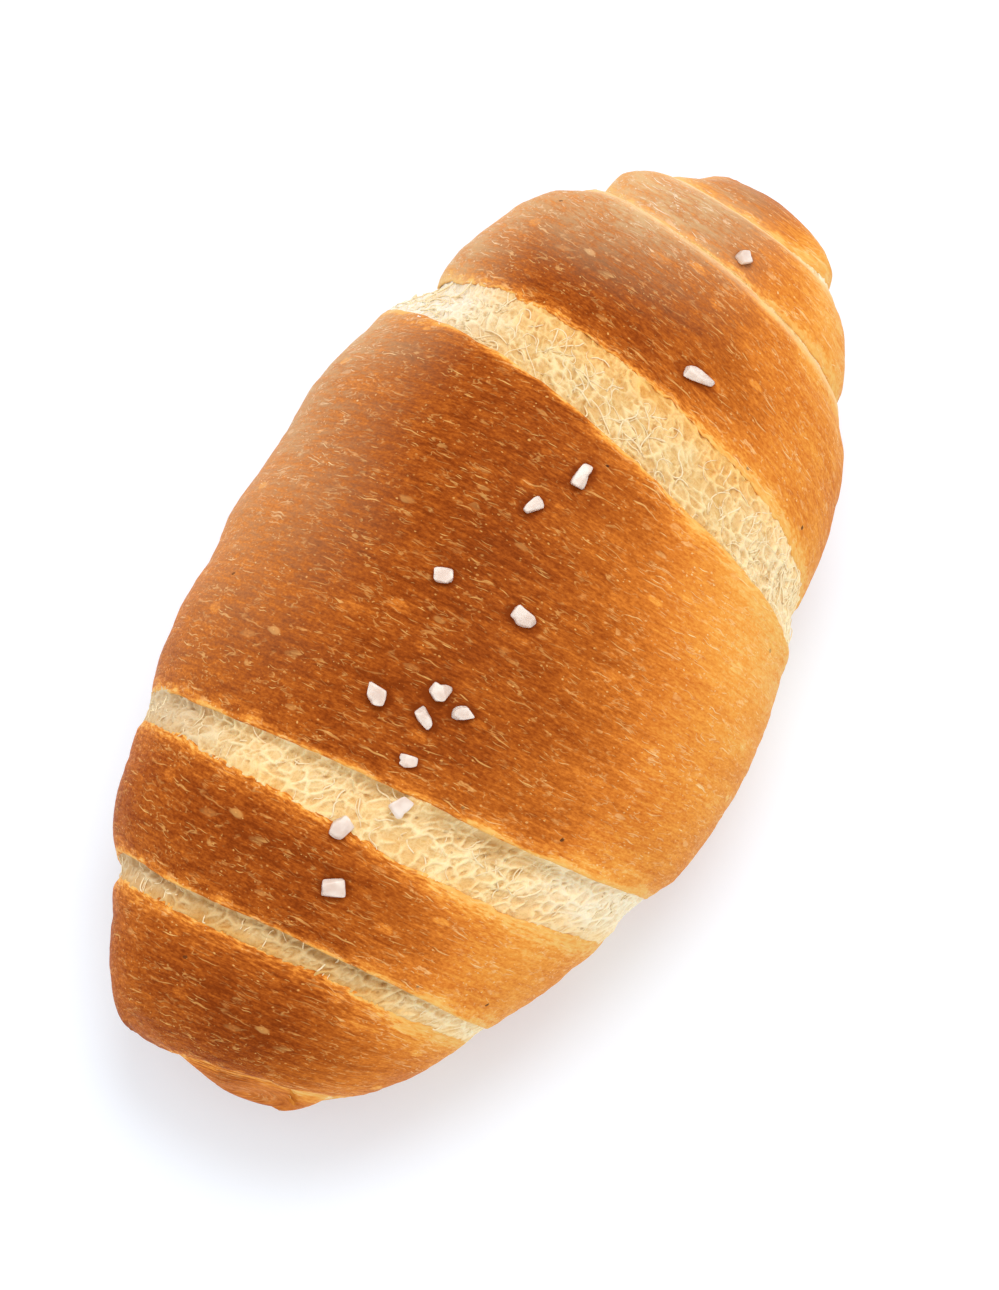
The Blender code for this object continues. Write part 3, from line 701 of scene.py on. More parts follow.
def crumb_face(seam, angle, beyond, lines):
    """Depth of a seam's crumb at a distance beyond its lip, its web, how toasted it is, and how much painted
    shade it has. It hangs below the lip, lies in a hollow for a share of the gap, and slopes up from there to
    the next crust, with the web standing on it. Down the sides it runs straight, and a neck of crust bridges
    one seam."""
    side = SEAMS[seam][2]
    lip, gap = lines["lip"][seam], lines["gap"][seam]
    inner, outer = (seam + 1, seam) if side < 0 else (seam, seam + 1)
    radius = radius_at(np.mean(lip))
    share, breadth = beyond / gap, gap / (4 * MM)
    ends = smooth((np.abs(angle - 0.5 * np.pi) - np.radians(50)) / np.radians(28))
    right_end = ends * (angle > 0.5 * np.pi)
    wander = sum(round_waves(angle, radius, long, seed + seam) for long, seed in WANDER_WAVES)
    slope = smooth((share - SEAM_RIM[seam] - 0.08 * wander) / 0.25)

    top = band_depth(inner, lip + side * np.minimum(beyond, 0), lines)
    top = top + (0.85 - 0.5 * ends) * SEAM_LIP[seam] * MM + 0.5 * MM * smooth(-beyond / (1.0 * MM))
    start = lip + side * np.maximum(beyond, gap)
    next_crust = band_depth(outer, start, lines)
    trim = trim_depth(lip + side * np.maximum(beyond, 0), angle) - trim_depth(start, angle)
    ledge = SEAM_LEDGE[seam] * MM * smooth(share) * (1 + np.clip(wander, -0.5, 1.5))
    tuck = 0.4 * MM * smooth((beyond - gap) / (0.8 * MM))
    hollow = SEAM_HOLLOW[seam] * MM * (1 - slope) * np.clip(breadth, 0.4, 1.1)
    floor = next_crust + trim + ledge + tuck + hollow
    wall = smooth(beyond / np.minimum(1.2 * MM, 0.4 * gap))
    depth = top * (1 - wall) + floor * wall
    straight = top * (1 - share) + (floor - hollow) * share
    depth = np.where((share > 0) & (share < 1), depth - ends * (depth - straight).clip(0), depth)

    height = web(angle, beyond, radius, 200 + 10 * seam)
    # Painted shade: darker crumb in the hollow below the lip, none at the right end
    shade = (1 - slope) * (1 - right_end)
    relief = SEAM_WEB[seam] * WEB_HEIGHT * np.clip(breadth, 0.35, 1) * (1 - 0.5 * smooth((share - 0.7) / 0.4))
    relief = relief * (1 + 0.7 * shade * (SEAM_GLOOM[seam] > 0)) * (1 - 0.55 * ends) * (height - WEB_MIDDLE)
    depth = depth - relief * smooth((beyond + 1.2 * MM) / (1.2 * MM))
    toast = smooth((share - 0.45 - 0.06 * wander) / 0.6)
    if seam == NECK_SEAM:
        neck = neck_share(angle, beyond, radius, gap)
        bridge = band_depth(inner, lip, lines) * (1 - smooth(share)) + next_crust * smooth(share)
        depth = depth * (1 - neck) + neck * (bridge + 0.1 * MM - 0.3 * relief)
        toast = np.maximum(toast, neck * 0.8)
        shade = shade * (1 - neck)
    shade = np.maximum(SEAM_GLOOM[seam] * shade, SEAM_SHADE[seam] * (1 - right_end))
    return lip + side * beyond, depth, {"web": height, "toast": toast, "shade": shade}


def crumb_strip(seam, sizes, material):
    """The bare crumb of one seam as a closed strip tucked under both crusts: rows across its face and back
    along its underside, columns round the roll."""
    widest = radius_at(seam_lines(np.linspace(0, np.pi, 30))["lip"][seam]).max()
    spacing = SEAM_SPACING[seam] * MM * sizes.fineness
    angle = round_angles(spacing / widest)
    lines = seam_lines(angle)
    gap = lines["gap"][seam]
    rows = int((gap.max() + STRIP_TUCK + STRIP_REACH) / spacing)
    share = np.concatenate([np.linspace(0, 1, rows), np.linspace(1, 0, STRIP_BACK_ROWS)])[:, None]
    inset = np.repeat([STRIP_FACE, STRIP_BACK], [rows, STRIP_BACK_ROWS])[:, None]
    beyond = -STRIP_TUCK + (gap + STRIP_TUCK + STRIP_REACH) * share
    grid_angle = np.broadcast_to(angle, beyond.shape)
    arc, depth, fields = crumb_face(seam, grid_angle, beyond, lines)
    points = surface(np.clip(arc, NEAR_TIP, FAR_TIP), grid_angle, depth - STRIP_FACE, inset)
    u = np.broadcast_to(np.append(angle, angle[0] + TURN) * widest / MM, (len(arc), len(angle) + 1))
    v = np.concatenate([beyond, beyond[:, :1]], 1) / MM
    # Towards the seam ends the crumb is paler, partly its own colour and partly painted light, and at the right end
    # its painted shade is lifted
    sides = smooth((np.sin(grid_angle) + 0.95) / 0.5)
    left = sides * smooth((np.radians(70) - grid_angle) / np.radians(42))
    right = sides * smooth((grid_angle - np.radians(122)) / np.radians(30))
    bright_end = 1 - 0.85 * sides * smooth((grid_angle - np.radians(112)) / np.radians(35))
    cream_and_light = np.maximum(SEAM_LEFT_CREAM_AND_LIGHT[seam] * left, SEAM_RIGHT_CREAM_AND_LIGHT[seam] * right)
    fields["cream_and_light"] = np.maximum(cream_and_light, SEAM_CREAM[seam])
    fields["toast"] = fields["toast"] * (SEAM_LEFT_TOAST[seam] * (1 - right) + SEAM_RIGHT_TOAST[seam] * right)
    fields["shade"] = np.maximum(fields["shade"] * bright_end, SEAM_LEFT_SHADE[seam] * left)
    own(put_mesh(f"crumb_seam_{seam + 1}", points[None], False, np.stack([u, v], -1)[None], fields),
        material)


def crumb_strands(sizes, material):
    """Loose threads of crumb lying over the seams: each follows a wandering line on the crumb, rises a little
    between its ends, and is a thin tube that tapers to points."""
    draw = np.random.default_rng(STRAND_SEED)
    s = np.linspace(0, 1, STRAND_STEPS)
    turn = np.linspace(0, TURN, STRAND_SIDES, endpoint=False)[:, None]
    grids, maps = [], []
    for seam, number, heading_spread, curl_spread in STRANDS:
        count = int(number * sizes.strand_share)
        start_angle = np.radians(draw.uniform(4, 172, count))
        lines = seam_lines(start_angle)
        gap = lines["gap"][seam]
        begin = draw.uniform(-0.1, 0.75, count) * gap
        long = draw.uniform(1.2, 4.5, count) * MM * np.clip(gap / (7 * MM), 0.45, 1.2)
        heading = draw.normal(0.2, heading_spread, count)
        curl = draw.normal(0, curl_spread, count)
        wave = draw.normal(0, 0.3, (count, 2))
        direction = heading[:, None] + curl[:, None] * s
        direction = direction + wave[:, :1] * np.sin(7 * s) + wave[:, 1:] * np.cos(5 * s)
        move = long[:, None] / (STRAND_STEPS - 1)
        across = begin[:, None] + np.cumsum(np.cos(direction), 1) * move
        along = np.cumsum(np.sin(direction), 1) * move
        radius = radius_at(lines["lip"][seam])[:, None]
        angle = start_angle[:, None] + along / radius
        lines = seam_lines(angle)
        across = np.clip(across, -0.3 * MM, lines["gap"][seam] + 0.1 * MM)
        arc, depth, _ = crumb_face(seam, angle, across, lines)
        taut = depth[:, :1] * (1 - s) + depth[:, -1:] * s
        rise = draw.uniform(-0.06, 0.14, count)[:, None] * MM * np.sin(np.pi * s) + 0.02 * MM
        centre = surface(arc, angle, np.minimum(depth, taut + 0.15 * MM) - rise)
        tangent = unit(np.gradient(centre, axis=1))
        beside = unit(np.cross(tangent, outward(arc, angle)))
        up = np.cross(beside, tangent)
        thick = draw.uniform(0.20, 0.32, count)[:, None] ** 2 * MM * np.clip(np.sin(np.pi * s) * 3, 0.02, 1)
        ring = beside[:, :, None] * np.cos(turn) + up[:, :, None] * np.sin(turn)
        grids.append(centre[:, :, None] + ring * thick[:, :, None, None])
        maps.append(np.repeat(np.stack([angle * radius, across], -1)[:, :, None], STRAND_SIDES + 1, 2) / MM)
    bodies = np.concatenate(grids)
    fields = {"web": np.ones(bodies.shape[:3]), "cream_and_light": np.full(bodies.shape[:3], 0.3)}
    own(put_mesh("crumb_strands", bodies, True, np.concatenate(maps), fields), material)


def salt_shape(seed):
    """A grain that just fills a box from −1 to 1: a ball pushed in by a dozen random flat faces with softened
    edges, with a notch at one side and a fine unevenness."""
    around, up = np.meshgrid(np.linspace(0, TURN, SALT_COLUMNS, endpoint=False),
                             np.linspace(-np.pi / 2, np.pi / 2, SALT_ROWS))
    ball = np.stack([np.cos(up) * np.cos(around), np.cos(up) * np.sin(around), np.sin(up)], -1)
    draw = np.random.default_rng(seed)
    faces = np.concatenate([np.eye(3), -np.eye(3), draw.normal(size=(7, 3)) * [1, 1, 0.7]])
    faces[:6] += draw.normal(0, 0.24, (6, 3))
    reach = np.concatenate([draw.uniform(0.8, 1.0, 6), draw.uniform(0.85, 1.1, 7)])
    push = np.clip(ball @ unit(faces).T, 0, None) / reach
    radial = np.sum(push ** SALT_SHARPNESS, -1) ** (-1 / SALT_SHARPNESS)
    off = turned_from(around, draw.uniform(0, TURN))
    radial = radial * (1 - 0.2 * np.exp(-(off / 0.3) ** 2 - ((up - 0.2) / 0.7) ** 2))
    radial = radial + 0.006 * noise(7 * ball[..., 0] + 9, 7 * ball[..., 1] + 9 + 5 * ball[..., 2], seed + 300)
    shape = ball * radial[..., None]
    return shape / np.abs(shape).max((0, 1))


def depth_under(arc, angle):
    """Depth of the crust, or of the crumb within a gap, at one point."""
    lines = seam_lines(angle)
    depth = band_depth(int(np.searchsorted(lines["lip"][:, 0], arc[0])), arc, lines)
    for seam, (_, _, side) in enumerate(SEAMS):
        beyond = side * (arc - lines["lip"][seam])
        if 0 < beyond[0] < lines["gap"][seam][0]:
            depth = crumb_face(seam, angle, beyond, lines)[1]
    return depth


def salt_grains(sizes, material):
    """Coarse salt: each grain is stretched to its size, turned, and sunk a little into what it stands on."""
    grids = []
    for place, degrees, long, wide, turn, seed in SALT:
        arc, angle = np.array([place * MM]), np.array([np.radians(degrees)])
        normal = outward(arc, angle)[0]
        along = unit(np.array([1.0, 0, 0]) - normal * normal[0])
        beside = np.cross(normal, along)
        c, s = np.cos(np.radians(turn)), np.sin(np.radians(turn))
        axes = np.stack([along * c + beside * s, beside * c - along * s, normal])
        height = wide * sizes.height_share * MM
        size = np.array([long * MM, wide * MM, height]) * sizes.size_share / 2
        seat = surface(arc, angle, depth_under(arc, angle))[0] + normal * height * (0.5 - SALT_SUNK_SHARE)
        grids.append(seat + (salt_shape(seed) * size) @ axes)
    own(put_mesh("salt_crystals", np.array(grids), True), material)


def feed(tree, node, sockets):
    """Links or sets a node's inputs: a socket is linked, and any other value is set."""
    for key, value in sockets.items():
        if isinstance(value, bpy.types.NodeSocket):
            tree.links.new(value, node.inputs[key])
        else:
            node.inputs[key].default_value = value
    return node


def put(tree, kind, sockets, **settings):
    """Adds a shader node with its settings and inputs."""
    node = tree.nodes.new("ShaderNode" + kind)
    for key, value in settings.items():
        setattr(node, key, value)
    return feed(tree, node, sockets)


def maths(tree, operation, *values, clamp=False):
    """Result of a Math node on one to three values."""
    return put(tree, "Math", dict(enumerate(values)), operation=operation, use_clamp=clamp).outputs[0]


def product(tree, first, *others):
    """Values multiplied together."""
    for other in others:
        first = maths(tree, "MULTIPLY", first, other)
    return first


def weighted(tree, start, *parts, clamp=False):
    """A value plus further ones, each times its weight."""
    for weight, value in parts:
        start = maths(tree, "MULTIPLY_ADD", value, weight, start, clamp=clamp)
    return start


def strongest(tree, first, *others):
    """The largest of several values."""
    for other in others:
        first = maths(tree, "MAXIMUM", first, other)
    return first


def vectors(tree, operation, first, second, **more):
    """Result of a Vector Math node on two vectors, or a vector and a scale."""
    return put(tree, "VectorMath", {0: first, **({"Scale": second} if operation == "SCALE" else {1: second}),
                                    **more}, operation=operation).outputs[0]


def spread(tree, value, low, high, to_low=0.0, to_high=1.0):
    """A value eased from one range to another."""
    sockets = {"Value": value, "From Min": low, "From Max": high, "To Min": to_low, "To Max": to_high}
    return put(tree, "MapRange", sockets, interpolation_type="SMOOTHSTEP").outputs[0]


def blend(tree, share, first, second, how="MIX"):
    """Second colour over the first by a share. Each is a socket or three numbers."""
    first, second = (value if isinstance(value, bpy.types.NodeSocket) else (*value, 1) for value in (first, second))
    return put(tree, "Mix", {0: share, 6: first, 7: second}, data_type="RGBA", blend_type=how).outputs[2]


def attributes(tree, *names):
    """Mesh attributes as numbers."""
    return [put(tree, "Attribute", {}, attribute_name=name).outputs["Fac"] for name in names]


def shader_group(name, inputs, outputs):
    """A new shader node group with named sockets, and its two end nodes."""
    tree = bpy.data.node_groups.new(name, "ShaderNodeTree")
    for socket, default in inputs.items():
        kind = "NodeSocketFloat" if isinstance(default, float) else "NodeSocketVector"
        made = tree.interface.new_socket(socket, in_out="INPUT", socket_type=kind)
        made.default_value = default
    for socket, kind in outputs.items():
        tree.interface.new_socket(socket, in_out="OUTPUT", socket_type=kind)
    return tree, tree.nodes.new("NodeGroupInput").outputs, tree.nodes.new("NodeGroupOutput")


def use(tree, group, **sockets):
    """Places a shader node group and gives its output."""
    node = tree.nodes.new("ShaderNodeGroup")
    node.node_tree = bpy.data.node_groups[group]
    return feed(tree, node, sockets).outputs[0]


def stretched(tree, given, vector):
    """A place divided by the group's length and width."""
    size = put(tree, "CombineXYZ", {0: given["Length"], 1: given["Width"], 2: 1.0})
    return vectors(tree, "DIVIDE", vector, size.outputs[0])


def make_flecks_group():
    """Scattered flecks: ovals at the seeds of stretched cells, each of its own size and strength, a share of
    them kept, on ground that drifts slowly so that their directions differ a little."""
    inputs = {"Vector": (0, 0, 0), "Length": 2.0, "Width": 0.3, "Share": 0.5, "Drift": 0.5}
    tree, given, out = shader_group("Scattered Flecks", inputs, {"Mask": "NodeSocketFloat"})
    drift = put(tree, "TexNoise", {"Vector": given["Vector"], "Scale": 0.3, "Detail": 0.0})
    centred = vectors(tree, "SUBTRACT", drift.outputs["Color"], (0.5, 0.5, 0.5))
    moved = vectors(tree, "ADD", given["Vector"], vectors(tree, "SCALE", centred, given["Drift"]))
    wobble = put(tree, "TexNoise", {"Vector": given["Vector"], "Scale": 0.9, "Detail": 0.0})
    wobbled = put(tree, "VectorMath", {0: wobble.outputs["Color"], 1: (0, 0.5, 0), 2: moved},
                  operation="MULTIPLY_ADD")
    cells = stretched(tree, given, wobbled.outputs[0])
    seeds = put(tree, "TexVoronoi", {"Vector": cells, "Scale": 1.0}, voronoi_dimensions="2D")
    chance, size, strength = put(tree, "SeparateColor", {0: seeds.outputs["Color"]}).outputs
    kept = maths(tree, "LESS_THAN", chance, given["Share"])
    inside = maths(tree, "DIVIDE", seeds.outputs["Distance"], weighted(tree, 0.12, (0.28, size)))
    strength = product(tree, kept, weighted(tree, 0.3, (0.7, strength)))
    feed(tree, out, {"Mask": product(tree, spread(tree, inside, 1.0, 0.55), strength)})


def make_threads_group():
    """Wandering threads: thin bright lines where stretched noise passes through its middle."""
    inputs = {"Vector": (0, 0, 0), "Length": 1.0, "Width": 0.5, "Fineness": 8.0}
    tree, given, out = shader_group("Wandering Threads", inputs, {"Mask": "NodeSocketFloat"})
    sockets = {"Vector": stretched(tree, given, given["Vector"]), "Scale": 1.0, "Detail": 1.5, "Distortion": 0.5}
    field = put(tree, "TexNoise", sockets, noise_dimensions="2D")
    off = maths(tree, "ABSOLUTE", maths(tree, "SUBTRACT", field.outputs["Fac"], 0.5))
    feed(tree, out, {"Mask": maths(tree, "SUBTRACT", 1.0, product(tree, off, given["Fineness"]), clamp=True)})


def make_mottle_group():
    """Soft mottling around zero: a few octaves of noise drawn out along the wrap."""
    inputs = {"Vector": (0, 0, 0), "Length": 3.0, "Width": 1.5}
    tree, given, out = shader_group("Soft Mottle", inputs, {"Value": "NodeSocketFloat"})
    sockets = {"Vector": stretched(tree, given, given["Vector"]), "Scale": 1.0, "Detail": 3.0, "Roughness": 0.6}
    field = put(tree, "TexNoise", sockets, noise_dimensions="2D")
    feed(tree, out, {"Value": maths(tree, "SUBTRACT", field.outputs["Fac"], 0.5)})


def make_bake_group(colours):
    """Baked colour: pale dough, golden, orange-brown and dark brown by how long it was in the heat."""
    tree, given, out = shader_group("Baked Colour", {"Bake": 0.5}, {"Color": "NodeSocketColor"})
    ramp = put(tree, "ValToRGB", {0: given["Bake"]})
    stops = ramp.color_ramp.elements
    while len(stops) < len(colours):
        stops.new(1.0)
    for number, shade in enumerate(colours):
        stops[number].position = number / (len(colours) - 1)
        stops[number].color = (*shade, 1.0)
    feed(tree, out, {"Color": ramp.outputs["Color"]})


def new_material(name):
    """An empty material, with its tree and its Principled shader."""
    material = bpy.data.materials.new(name)
    material.use_nodes = True
    return material.node_tree, material.node_tree.nodes["Principled BSDF"]


def bumped(tree, height, strength, distance):
    """Normal of a fine relief."""
    return put(tree, "Bump", {"Height": height, "Strength": strength, "Distance": distance}).outputs[0]


def crust_finish(looks):
    """Baked crust: brown to gold by its bake, with mottling and fibres drawn out along the wrap, pale flecks, a
    few blisters and char specks, paler rims at its own lip and where it was torn, painted contact shade round
    the salt, a painted sheen with paler flecks as painted glints, pale valleys, and bare dough underneath."""
    tree, shader = new_material("baked_crust")
    wrap = put(tree, "UVMap", {}, uv_map="wrap").outputs[0]
    names = ("bake", "painted_sheen", "lip", "torn", "under", "valley", "ring", "calm")
    bake, painted_sheen, lip, torn, under, valley, ring, calm = attributes(tree, *names)

    def mottle(along, across):
        return use(tree, "Soft Mottle", Vector=wrap, Length=along, Width=across)

    def flecks(along, across, share, drift):
        return use(tree, "Scattered Flecks", Vector=wrap, Length=along, Width=across, Share=share, Drift=drift)

    broad, middle, small, grain = mottle(12, 6), mottle(5.0, 1.0), mottle(1.3, 0.40), mottle(0.45, 0.25)
    streak = mottle(9.0, 0.55)
    fibres = use(tree, "Wandering Threads", Vector=wrap, Length=1.9, Width=0.65, Fineness=17.0)
    fibres = product(tree, fibres, spread(tree, mottle(2.4, 1.3), 0.0, 0.15))
    blister = product(tree, flecks(4.2, 2.2, 0.10, 0.6), calm)
    char = product(tree, flecks(1.2, 1.0, 0.0025, 0.5), 0.9)
    pale = strongest(tree, product(tree, fibres, 0.6),
                     *(product(tree, flecks(*kind), strength) for *kind, strength in PALE_FLECKS))

    unrest = weighted(tree, product(tree, middle, 0.36), (0.40, broad), (0.35, streak), (0.6, small), (0.6, grain))
    unrest = product(tree, unrest, calm)
    level = weighted(tree, bake, (weighted(tree, 0.3, (0.8, bake)), unrest), (-0.25, blister),
                     (spread(tree, small, -0.2, 0.2, -0.72, -0.42), torn),
                     (spread(tree, middle, -0.2, 0.2, -0.75, -0.25), lip))
    level = strongest(tree, level, spread(tree, small, -0.25, 0.25, 0.02, 0.16))
    # Painted contact shade: the crust is darker round each grain of salt
    level = weighted(tree, level, (0.22, ring))

    # Flecks are denser in the painted sheen, as painted glints, and fewer in the painted contact shade round the
    # salt
    dense = weighted(tree, spread(tree, mottle(7.0, 3.5), -0.2, 0.15, 0.45, 1.15), (0.5, painted_sheen))
    pale = product(tree, pale, weighted(tree, 0.66, (-0.7, ring)), dense, calm)
    fleck = blend(tree, spread(tree, level, 0.25, 0.7), looks.light_fleck, looks.fleck)
    # Painted sheen: the baked colour is paled where light would glance off the crust, patchy with the mottling, and
    # its flecks take a paler colour as painted glints
    sheen_mix = weighted(tree, maths(tree, "ADD", broad, middle), (1.2, small))
    sheen_mix = product(tree, painted_sheen, spread(tree, sheen_mix, -0.4, 0.35, 0.25, 0.75))
    shade = blend(tree, sheen_mix, use(tree, "Baked Colour", Bake=level), looks.painted_sheen)
    shade = blend(tree, pale, shade, blend(tree, painted_sheen, fleck, looks.sheen_fleck))
    line = product(tree, valley, spread(tree, small, -0.25, 0.2, 0.45, 1.0))
    for share, colour in ((line, looks.valley), (char, CHAR_COLOUR), (under, looks.inner)):
        shade = blend(tree, share, shade, colour)
    raised = weighted(tree, product(tree, pale, 0.8), (0.9, small), (0.8, middle))
    feed(tree, shader, {"Base Color": shade, "Normal": bumped(tree, raised, 0.6, 0.00015),
                        "Roughness": weighted(tree, 0.42, (0.3, small)), "Specular IOR Level": 0.015})


def crumb_finish(looks, name, softness):
    """Bare crumb: pale threads over golden hollows, whiter where it is creamy, which at the seam ends is partly
    painted light, toasted towards the next crust, with painted shade below the lip, and pinholes painted as
    dark shade in small pits."""
    tree, shader = new_material(name)
    wrap = put(tree, "UVMap", {}, uv_map="wrap").outputs[0]
    height, toast, shade, cream_and_light = attributes(tree, "web", "toast", "shade", "cream_and_light")
    patch = use(tree, "Soft Mottle", Vector=wrap, Length=4.0, Width=3.0)
    fine = use(tree, "Wandering Threads", Vector=wrap, Length=0.5, Width=0.9, Fineness=8.0)
    cross = use(tree, "Wandering Threads", Vector=wrap, Length=1.1, Width=0.5, Fineness=10.0)
    pinhole_shade = use(tree, "Scattered Flecks", Vector=wrap, Length=0.9, Width=0.8, Share=0.035, Drift=0.6)
    threads = strongest(tree, product(tree, fine, 0.7), product(tree, cross, 0.8))
    # Threads are brighter where the crumb is paler at the seam ends, partly its own colour and partly painted light
    bright = weighted(tree, product(tree, threads, 0.5), (0.7, spread(tree, height, 0.12, 0.62)), (0.35, cream_and_light),
                      clamp=True)
    hollow = blend(tree, cream_and_light, looks.hollow, looks.pale_hollow)
    thread = blend(tree, cream_and_light, looks.thread, looks.white)
    base = blend(tree, bright, hollow, thread)
    golden = weighted(tree, toast, (1.1, patch), clamp=True)
    golden = product(tree, golden, weighted(tree, 1.0, (-0.7, cream_and_light)), 0.8)
    base = blend(tree, golden, base, looks.golden, "MULTIPLY")
    # Painted shade below the lip, and over some seams all over
    base = blend(tree, shade, base, looks.shade, "MULTIPLY")
    # Pinholes: painted shade of small pits
    base = blend(tree, product(tree, pinhole_shade, 0.5), base, PINHOLE_SHADE)
    feed(tree, shader, {"Base Color": base, "Normal": bumped(tree, bright, 0.45, 0.00012),
                        "Roughness": 0.75, "Specular IOR Level": 0.15, "Subsurface Weight": softness,
                        "Subsurface Radius": (1.0, 0.7, 0.4), "Subsurface Scale": 0.0008})


def salt_finish(looks):
    """Coarse salt: cloudy white with greyer veins, a little light passing through."""
    tree, shader = new_material("coarse_salt")
    place = put(tree, "TexCoord", {}).outputs["Object"]
    cloud = put(tree, "TexNoise", {"Vector": place, "Scale": 600.0, "Detail": 2.0}).outputs["Fac"]
    base = blend(tree, spread(tree, cloud, 0.35, 0.65), looks.vein, looks.white)
    feed(tree, shader, {"Base Color": base, "Normal": bumped(tree, cloud, 0.08, 0.00015),
                        "Roughness": 0.35, "Subsurface Weight": 0.5, "Subsurface Radius": (1.0, 0.9, 0.8),
                        "Subsurface Scale": 0.0012})


def length_setting(name, description, default):
    """A size in metres shown as a length."""
    return FloatProperty(name=name, description=description, default=default, min=0.0, unit="LENGTH",
                         subtype="DISTANCE", precision=5)


def colour_setting(name, description, default):
    """A linear colour."""
    return FloatVectorProperty(name=name, description=description, default=default, size=3, min=0.0, max=1.0,
                               subtype="COLOR")


def factor_setting(name, description, default, least, most):
    """A plain factor within limits."""
    return FloatProperty(name=name, description=description, default=default, min=least, max=most,
                         subtype="FACTOR")


class CrustSettings(bpy.types.PropertyGroup):
    """Sizes and colours of the crust"""

    spacing: length_setting("Spacing", "Distance between the points of the crust's mesh", 0.29 * MM)
    lip: factor_setting("Lip Thickness", "Thickness of the wraps' edges against the usual one", 1.0, 0.2, 3.0)
    ledge: length_setting("Ledge Thickness", "Thickness of the crust where it was torn", 0.28 * MM)
    shell: length_setting("Shell Thickness", "Thickness of a wrap away from its edges", 1.9 * MM)
    relief: length_setting("Relief", "Height of the broad swells of the crust", 0.16 * MM)
    dough: colour_setting("Dough", "Crust that was hardly baked", (0.84, 0.52, 0.15))
    gold: colour_setting("Gold", "Lightly baked crust", (0.80, 0.315, 0.050))
    honey: colour_setting("Honey", "Evenly baked crust", (0.63, 0.185, 0.024))
    orange: colour_setting("Orange", "Well baked crust", (0.43, 0.106, 0.012))
    brown: colour_setting("Brown", "Fully baked crust", (0.30, 0.061, 0.0065))
    dark: colour_setting("Dark", "The darkest crust", (0.20, 0.035, 0.0035))
    fleck: colour_setting("Fleck", "Pale flecks along the wrap", (0.90, 0.50, 0.15))
    light_fleck: colour_setting("Light Fleck", "Pale flecks on lightly baked crust", (0.97, 0.70, 0.34))
    valley: colour_setting("Valley", "Hardly baked dough in the valleys at the far end", (0.93, 0.63, 0.33))
    # The next two colours are painted sheen: paler flecks and a pale colour that stand for light glancing off the
    # crust
    sheen_fleck: colour_setting("Bloom Fleck", "Flecks where the crust has a bloom", (0.95, 0.79, 0.62))
    painted_sheen: colour_setting("Bloom", "Pale bloom on the crust", (0.815, 0.605, 0.315))
    inner: colour_setting("Inner", "The underside of a lip", (0.84, 0.68, 0.42))


class CrumbSettings(bpy.types.PropertyGroup):
    """Fineness, threads and colours of the bare crumb"""

    fineness: factor_setting("Fineness", "Spacing of the crumb's mesh against its usual one", 1.0, 0.5, 4.0)
    strand_share: factor_setting("Strands", "Number of loose threads against the usual number", 1.0, 0.0, 2.0)
    thread: colour_setting("Thread", "Threads of crumb", (0.91, 0.73, 0.40))
    # White and Pale Hollow colour the paler crumb at the seam ends, partly its own colour and partly painted light
    white: colour_setting("White", "Threads of creamy crumb", (0.95, 0.89, 0.76))
    hollow: colour_setting("Hollow", "Crumb between the threads", (0.72, 0.44, 0.15))
    pale_hollow: colour_setting("Pale Hollow", "Creamy crumb between the threads", (0.86, 0.73, 0.50))
    golden: colour_setting("Golden", "Tint of toasted crumb", (1.0, 0.72, 0.34))
    # Shade is the colour of the painted shade below a lip
    shade: colour_setting("Shade", "Tint of the crumb below a lip", (0.70, 0.61, 0.54))


class SaltSettings(bpy.types.PropertyGroup):
    """Size and colours of the salt"""

    height_share: factor_setting("Height", "Height of a grain against its width", 0.65, 0.2, 1.5)
    size_share: factor_setting("Size", "Size of a grain against its listed one", 0.99, 0.5, 1.5)
    white: colour_setting("White", "Clear salt", (0.80, 0.69, 0.61))
    vein: colour_setting("Vein", "Cloudy salt", (0.68, 0.54, 0.46))


class StageSettings(bpy.types.PropertyGroup):
    """Floor, light and camera"""

    floor: colour_setting("Floor", "The plain floor", (0.655, 0.722, 0.80))
    floor_glow: factor_setting("Floor Glow", "Light of the lit floor itself", 0.27, 0.0, 2.0)
    sky_strength: factor_setting("Sky", "Strength of the even light", 0.98, 0.0, 10.0)
    key_strength: factor_setting("Key", "Strength of the soft key light", 1.05, 0.0, 10.0)
    side_strength: factor_setting("Side", "Strength of the soft light from the left", 0.07, 0.0, 10.0)
    lens: FloatProperty(name="Lens", description="Focal length in millimetres", default=156.8, min=1.0,
                        unit="CAMERA")
    distance: length_setting("Distance", "Camera distance from the point it looks at", 0.64)


class SALTROLL_OT_finishes(bpy.types.Operator):
    """Makes the shared shader groups and the four food materials"""

    bl_idname = "salt_roll.finishes"
    bl_label = "Finishes"

    def execute(self, context):
        crust, crumb = context.scene.salt_roll_crust, context.scene.salt_roll_crumb
        make_flecks_group()
        make_threads_group()
        make_mottle_group()
        make_bake_group([crust.dough, crust.gold, crust.honey, crust.orange, crust.brown, crust.dark])
        crust_finish(crust)
        crumb_finish(crumb, "bare_crumb", 0.3)
        crumb_finish(crumb, "crumb_threads", 0.0)
        salt_finish(context.scene.salt_roll_salt)
        return {"FINISHED"}


class SALTROLL_OT_crust(bpy.types.Operator):
    """Builds the seven wraps of baked crust"""

    bl_idname = "salt_roll.crust"
    bl_label = "Crust"

    def execute(self, context):
        for band in range(BANDS):
            crust_band(band, context.scene.salt_roll_crust, bpy.data.materials["baked_crust"])
        return {"FINISHED"}


